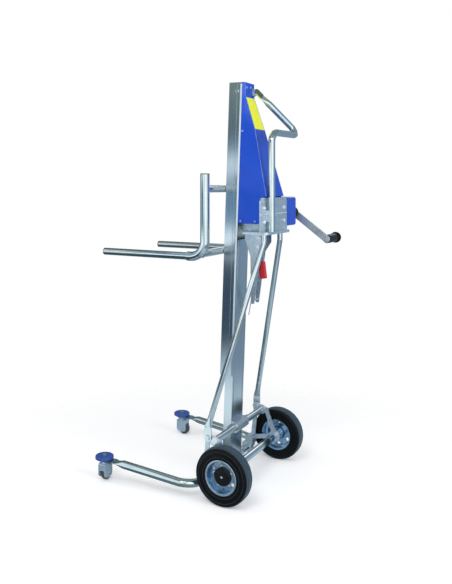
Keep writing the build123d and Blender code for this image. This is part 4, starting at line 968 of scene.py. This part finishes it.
# %% Rivets of the casters
CASTER_X = 276.0
CASTER_Y = -478.0
CASTER_TRAIL = 12.0
CASTER_AXLE_Z = 25.0
CASTER_HALF = 16.0
RIVET_SIZE = 5.0
BACKWARDS = Vector((0, 1, 0))
LEFTWARDS = Vector((1, 0, 0))
for name, corner_x, trail, across in (
    ("left", CASTER_X, -LEFTWARDS, BACKWARDS), ("right", -CASTER_X, BACKWARDS, LEFTWARDS)
):
    corner = Vector((corner_x, CASTER_Y, CASTER_AXLE_Z))
    ends = []
    for side in (1, -1):
        end = corner + trail * CASTER_TRAIL + across * side * CASTER_HALF
        ends.append((place(*end), across * side))
    body = "caster_" + name
    fasteners("caster_rivets_" + name, rivet_head, RIVET_SIZE, ends, turned_steel, body)

# %% Screws of the bracket and of the gear housing
BRACKET_SCREW = 4.0
CHEEK_X, CHEEK_Y, CHEEK_Z = 22.0, -12.0, 911.0
HOUSING_SIDE_X = -205.0
HOUSING_YS = (-6.0, 75.0)
HOUSING_ZS = (949.0, 1035.0)
bracket_spots = [
    (place(side * CHEEK_X, CHEEK_Y, CHEEK_Z), Vector((side, 0, 0))) for side in (1, -1)
]
bracket_spots += [
    (place(HOUSING_SIDE_X, y, z), Vector((-1, 0, 0))) for z in HOUSING_ZS for y in HOUSING_YS
]
fasteners(
    "bracket_screws", pan_head, BRACKET_SCREW, bracket_spots, turned_steel, "frame"
)

# %% [markdown]
# ## The floor and the light
# The photograph stands on white with a soft shadow. The floor is white and fades out with distance
# into a white world, so no horizon shows. Even light fills in from all sides, and three large
# soft lamps stand above, behind and in front. The world is brighter to the camera and to
# reflections than it is as a lamp: that whitens the background with no more light on the object.

# %% World
FILL_STRENGTH = 0.55
world = bpy.data.worlds.new("studio")
bpy.context.scene.world = world
world.use_nodes = True
sky = world.node_tree
sky.nodes.clear()
path = add(sky, "ShaderNodeLightPath")
seen = add(
    sky, "ShaderNodeMath", {0: path.outputs["Is Camera Ray"], 1: path.outputs["Is Glossy Ray"]},
    operation="MAXIMUM",
)
seen = add(
    sky, "ShaderNodeMath", {0: seen.outputs[0], 1: path.outputs["Is Transmission Ray"]},
    operation="MAXIMUM",
)
fill = add(sky, "ShaderNodeBackground", Color=linear("#FFFFFF"), Strength=FILL_STRENGTH)
white = add(sky, "ShaderNodeBackground", Color=linear("#FFFFFF"), Strength=1.0)
blend = add(
    sky, "ShaderNodeMixShader", {0: seen.outputs[0], 1: fill.outputs[0], 2: white.outputs[0]}
)
add(sky, "ShaderNodeOutputWorld", {"Surface": blend.outputs[0]})

# %% Floor


def flat_quad(name, corners):
    """A flat sheet from four places."""
    mesh = bpy.data.meshes.new(name)
    mesh.from_pydata([tuple(corner) for corner in corners], [], [(0, 1, 2, 3)])
    return object_from(mesh, name)


FLOOR_REACH = 9000.0
FADE_FROM = 600.0
FADE_TO = 1300.0
FLOOR_GLOW = 0.2
floor = flat_quad("floor", [
    place(-FLOOR_REACH, -FLOOR_REACH, 0), place(FLOOR_REACH, -FLOOR_REACH, 0),
    place(FLOOR_REACH, FLOOR_REACH, 0), place(-FLOOR_REACH, FLOOR_REACH, 0),
])
floor_paint, floor_tree, floor_shader, _ = finish("white_floor", Roughness=0.9)
floor_shader.inputs["Base Color"].default_value = linear("#F4F4F5")
floor_shader.inputs["Emission Color"].default_value = linear("#FFFFFF")
floor_shader.inputs["Emission Strength"].default_value = FLOOR_GLOW
floor_where = add(floor_tree, "ShaderNodeTexCoord").outputs["Object"]
floor_away = add(floor_tree, "ShaderNodeVectorMath", {0: floor_where}, operation="LENGTH")
floor_fade = add(
    floor_tree, "ShaderNodeMapRange", {"Value": floor_away.outputs["Value"]},
    From_Min=FADE_FROM * MILLIMETRE, From_Max=FADE_TO * MILLIMETRE,
    interpolation_type="SMOOTHSTEP",
)
floor_clear = add(floor_tree, "ShaderNodeBsdfTransparent")
floor_mix = add(
    floor_tree, "ShaderNodeMixShader",
    {0: floor_fade.outputs[0], 1: floor_shader.outputs[0], 2: floor_clear.outputs[0]},
)
for output in floor_tree.nodes:
    if output.bl_idname == "ShaderNodeOutputMaterial":
        floor_tree.links.new(floor_mix.outputs[0], output.inputs["Surface"])
floor.data.materials.append(floor_paint)

# %% [markdown]
# ## What the metal reflects
# Bright metal has little colour of its own: it shows the room. A photo studio is a dim room with
# a few soft boxes, and that gives plated tube its dark body and its long bright stripes. So a
# round wall, a ceiling and a floor sheet stand round the set that only glossy rays can see.
# Lamps alone would give small hot spots instead of stripes.

# %% A glow that only reflections see
GLOW_STRENGTH = 1.75


def lamp_paint(name):
    """A material that only glows, and the coordinates measured from the rear axle, in metres."""
    material = bpy.data.materials.new(name)
    material.use_nodes = True
    tree = material.node_tree
    tree.nodes.clear()
    glow = add(tree, "ShaderNodeEmission", Strength=GLOW_STRENGTH)
    add(tree, "ShaderNodeOutputMaterial", {"Surface": glow.outputs[0]})
    where = add(tree, "ShaderNodeTexCoord").outputs["Object"]
    moved = add(tree, "ShaderNodeVectorMath", {0: where}, operation="SUBTRACT")
    moved.inputs[1].default_value = AXLE_SHIFT * MILLIMETRE
    return material, tree, glow, moved.outputs[0]


def only_reflected(thing, paint):
    """Gives a studio sheet its paint and hides it from all but glossy rays."""
    thing.data.materials.append(paint)
    thing.visible_camera = False
    thing.visible_shadow = False
    thing.visible_diffuse = False
    return thing


def scaled(tree, socket, low, high):
    """A value mapped from its range to 0 to 1."""
    links = {"Value": socket}
    return add(tree, "ShaderNodeMapRange", links, From_Min=low, From_Max=high).outputs[0]


# %% [markdown]
# ## The round wall
# A picture of a real room could light the metal too, but greys by angle can be set one tube at a
# time. The wall's brightness follows the compass, written as a list of angles and greys, with 0
# degrees towards the machine's left and 90 towards its back. Two patches are added to it, each
# limited both round the wall and in height. The low one, from the front to the left, gives the
# upright tubes their white line. The high one, on the right, gives it to the axle and the cross
# tube.

# %% Greys of the wall
COMPASS = [
    (-180, "#74838A"), (-150, "#5A6870"), (-110, "#414D55"), (-78, "#6A787E"), (-57, "#C8D0D2"),
    (-42, "#66767C"), (-22, "#4B5A64"), (-6, "#4A585E"), (6, "#DDE4E6"), (20, "#8C999C"),
    (32, "#E6EAEA"), (50, "#FFFFFF"), (62, "#D2DADD"), (76, "#A9B7BE"), (92, "#94A6B4"),
    (110, "#5E7488"), (150, "#6C8094"), (180, "#74838A"),
]
DARK, LIGHT = "#000000", "#FFFFFF"
FRONT_HEIGHTS = [(0.0, DARK), (0.27, DARK), (0.34, LIGHT), (0.42, LIGHT), (0.5, DARK)]
FRONT_ANGLES = [(0.0, DARK), (0.28, DARK), (0.34, LIGHT), (0.5, LIGHT), (0.56, DARK)]
RIGHT_HEIGHTS = [(0.0, DARK), (0.5, DARK), (0.55, LIGHT), (0.7, LIGHT), (0.76, DARK)]
RIGHT_ANGLES = [(0.0, LIGHT), (0.06, LIGHT), (0.1, DARK), (0.968, DARK), (0.988, LIGHT)]


def with_patch(tree, colour, around, angles, up, heights):
    """A colour with a bright patch added, limited both round the wall and in height."""
    patch = add(
        tree, "ShaderNodeMix", {6: ramp(tree, around, angles), 7: ramp(tree, up, heights)},
        data_type="RGBA", blend_type="MULTIPLY",
    )
    patch.inputs[0].default_value = 1.0
    both = add(
        tree, "ShaderNodeMix", {6: colour, 7: patch.outputs[2]},
        data_type="RGBA", blend_type="SCREEN",
    )
    both.inputs[0].default_value = 1.0
    return both.outputs[2]


# %% The wall's paint and its mesh
WALL_RADIUS = 2600.0
WALL_TOP = 3000.0
WALL_SIDES = 48
wall_paint, wall_tree, wall_glow, wall_where = lamp_paint("reflected_wall")
wall_axes = add(wall_tree, "ShaderNodeSeparateXYZ", {"Vector": wall_where})
compass = add(
    wall_tree, "ShaderNodeMath", {0: wall_axes.outputs["Y"], 1: wall_axes.outputs["X"]},
    operation="ARCTAN2",
)
around = scaled(wall_tree, compass.outputs[0], -math.pi, math.pi)
wall_colour = ramp(wall_tree, around, [((angle + 180) / 360, grey) for angle, grey in COMPASS])
up_share = scaled(wall_tree, wall_axes.outputs["Z"], 0.0, WALL_TOP * MILLIMETRE)
for angles, heights in ((FRONT_ANGLES, FRONT_HEIGHTS), (RIGHT_ANGLES, RIGHT_HEIGHTS)):
    wall_colour = with_patch(wall_tree, wall_colour, around, angles, up_share, heights)
wall_tree.links.new(wall_colour, wall_glow.inputs["Color"])


def ring_points(radius, z):
    """Corners of the round wall at this height."""
    turns = [2 * math.pi * step / WALL_SIDES for step in range(WALL_SIDES)]
    return [tuple(place(radius * math.cos(turn), radius * math.sin(turn), z)) for turn in turns]


wall_mesh = bpy.data.meshes.new("reflected_wall")
wall_mesh.from_pydata(
    ring_points(WALL_RADIUS, 0.0) + ring_points(WALL_RADIUS, WALL_TOP), [],
    [
        (step, (step + 1) % WALL_SIDES, WALL_SIDES + (step + 1) % WALL_SIDES, WALL_SIDES + step)
        for step in range(WALL_SIDES)
    ],
)
only_reflected(object_from(wall_mesh, "reflected_wall"), wall_paint)
print("wall corners:", WALL_SIDES)

# %% [markdown]
# ## Ceiling and floor sheets
# Each is a disc whose glow changes with the distance from a middle of its own. The ceiling has a
# light ring, for the lines on top of the forks and legs. The floor's middle lies in front, to
# the left, where the legs look, so their undersides stay dark and the wheels see a paler floor.

# %% Discs
FLOOR_SHEET_Z = 0.4
FLOOR_SHEET_MIDDLE = (600.0, -1200.0, 0)


def disc_paint(name, stops, middle):
    """A glow whose colour follows the distance from a middle, from 0 to the wall's radius."""
    paint, tree, glow, where = lamp_paint(name)
    moved = add(tree, "ShaderNodeVectorMath", {0: where}, operation="SUBTRACT")
    moved.inputs[1].default_value = Vector(middle) * MILLIMETRE
    axes = add(tree, "ShaderNodeSeparateXYZ", {"Vector": moved.outputs[0]})
    flat = add(tree, "ShaderNodeCombineXYZ", {"X": axes.outputs["X"], "Y": axes.outputs["Y"]})
    distance = add(tree, "ShaderNodeVectorMath", {0: flat.outputs[0]}, operation="LENGTH")
    share = scaled(tree, distance.outputs["Value"], 0.0, WALL_RADIUS * MILLIMETRE)
    tree.links.new(ramp(tree, share, stops), glow.inputs["Color"])
    return paint


def disc(name, z, paint):
    """A round sheet at this height that only reflections see."""
    mesh = bpy.data.meshes.new(name)
    mesh.from_pydata(ring_points(WALL_RADIUS, z), [], [tuple(range(WALL_SIDES))])
    return only_reflected(object_from(mesh, name), paint)


ceiling = disc_paint(
    "reflected_ceiling",
    [(0.0, "#66726E"), (0.42, "#6E7A75"), (0.54, "#9CA7A2"), (0.64, "#5E6A64"), (1.0, "#434F4B")],
    (0, 0, 0),
)
disc("reflected_ceiling", WALL_TOP, ceiling)
ground = disc_paint(
    "reflected_floor",
    [
        (0.0, "#333F41"), (0.3, "#3C494C"), (0.4, "#56676F"), (0.55, "#8596A6"), (0.76, "#A4B3BC"),
        (0.9, "#7C8C9A"), (1.0, "#6C7A8C"),
    ],
    FLOOR_SHEET_MIDDLE,
)
disc("reflected_floor", FLOOR_SHEET_Z, ground)

# %% [markdown]
# ## A card beside the mast
# The mast's long flat side is a mirror for one narrow strip of the room. In a studio a card is held
# there and shaded by hand, so this one has its own greys from bottom to top: light behind the foot,
# a dark stretch, two light bands and the dim room above. It stands where the camera's view goes
# once the mast's side has mirrored it, and faces back along that way.

# %% The card
CARD_GLOW = [
    (0.0, "#C9D5DA"), (0.17, "#C9D5DA"), (0.24, "#A2B0BA"), (0.31, "#2C3D4C"), (0.52, "#26394B"),
    (0.56, "#DCE6EC"), (0.585, "#E6EEF2"), (0.62, "#64829A"), (0.7, "#4E7088"), (0.755, "#B9C4CC"),
    (0.78, "#CED6DA"), (0.815, "#5A7484"), (0.86, "#47565F"), (1.0, "#6B7A74"),
]
CARD_DISTANCE = 450.0
CARD_HALF = 190.0
CARD_TOP = 1560.0
CARD_LOW = 20.0
CARD_GLOW_FROM = -100.0
MAST_SIDE = Vector((50.0, -80.0, 0))
card_paint, card_tree, card_glow, card_where = lamp_paint("mast_card")
card_axes = add(card_tree, "ShaderNodeSeparateXYZ", {"Vector": card_where})
card_share = scaled(
    card_tree, card_axes.outputs["Z"], CARD_GLOW_FROM * MILLIMETRE, CARD_TOP * MILLIMETRE
)
card_tree.links.new(ramp(card_tree, card_share, CARD_GLOW), card_glow.inputs["Color"])
CARD_WAY = Vector((0.868, -0.497, 0))
CARD_ACROSS = Vector((0.497, 0.868, 0))
card_middle = MAST_SIDE + CARD_WAY * CARD_DISTANCE
card_across = CARD_ACROSS * CARD_HALF
card_left, card_right = card_middle - card_across, card_middle + card_across
mast_card = flat_quad("mast_card", [
    place(card_left.x, card_left.y, CARD_LOW), place(card_right.x, card_right.y, CARD_LOW),
    place(card_right.x, card_right.y, CARD_TOP), place(card_left.x, card_left.y, CARD_TOP),
])
only_reflected(mast_card, card_paint)

# %% Lamps


def lamp(name, spot, target, size, power):
    """A square soft lamp at a spot, turned to its target; power is in watts."""
    light = bpy.data.lights.new(name, "AREA")
    light.shape = "SQUARE"
    light.size = size * MILLIMETRE
    light.energy = power
    thing = bpy.data.objects.new(name, light)
    bpy.context.scene.collection.objects.link(thing)
    thing.location = place(*spot)
    aim = place(*target) - thing.location
    thing.rotation_euler = aim.to_track_quat("-Z", "Y").to_euler()
    print("lamp", name, "watts:", power)


LAMPS = (
    ("key", (2400.0, 300.0, 2900.0), (0, -100.0, 700.0), 1600.0, 42.0),
    ("side", (600.0, 2800.0, 1700.0), (0, 0, 800.0), 1500.0, 34.0),
    ("front", (900.0, -2900.0, 2000.0), (0, -200.0, 700.0), 1500.0, 16.0),
)
for row in LAMPS:
    lamp(*row)

# %% [markdown]
# ## The camera
# It stands 1.09 m high, level, to the left and behind the machine. The photograph's frame is
# cropped off-centre from a level shot, so the lens is shifted instead of tilted, which
# keeps upright edges upright. The numbers come from a fit to the wheels, tubes and forks.

# %% Camera
LONG_SIDE = 584
FOCAL_PIXELS = 681.1
SENSOR = 36.0
SHIFT_PIXELS = (25.8, -106.0)
CAMERA_SPOT = (2292.3, 1084.8, 1088.8)
CAMERA_WAY = Vector((-0.8679, -0.4967, 0.0))
camera_data = bpy.data.cameras.new("camera")
camera = bpy.data.objects.new("camera", camera_data)
bpy.context.scene.collection.objects.link(camera)
bpy.context.scene.camera = camera
camera_data.sensor_width = SENSOR
camera_data.lens = FOCAL_PIXELS * SENSOR / LONG_SIDE
camera_data.shift_x = SHIFT_PIXELS[0] / LONG_SIDE
camera_data.shift_y = SHIFT_PIXELS[1] / LONG_SIDE
camera.location = place(*CAMERA_SPOT)
camera.rotation_euler = CAMERA_WAY.to_track_quat("-Z", "Y").to_euler()
bpy.context.scene.view_settings.view_transform = "Standard"
print("camera at", [round(c, 3) for c in camera.location])

# %% Clear the patterns
for pattern in (pan_head, rivet_head, hexagon_head, bead_drop):
    bpy.data.objects.remove(pattern)
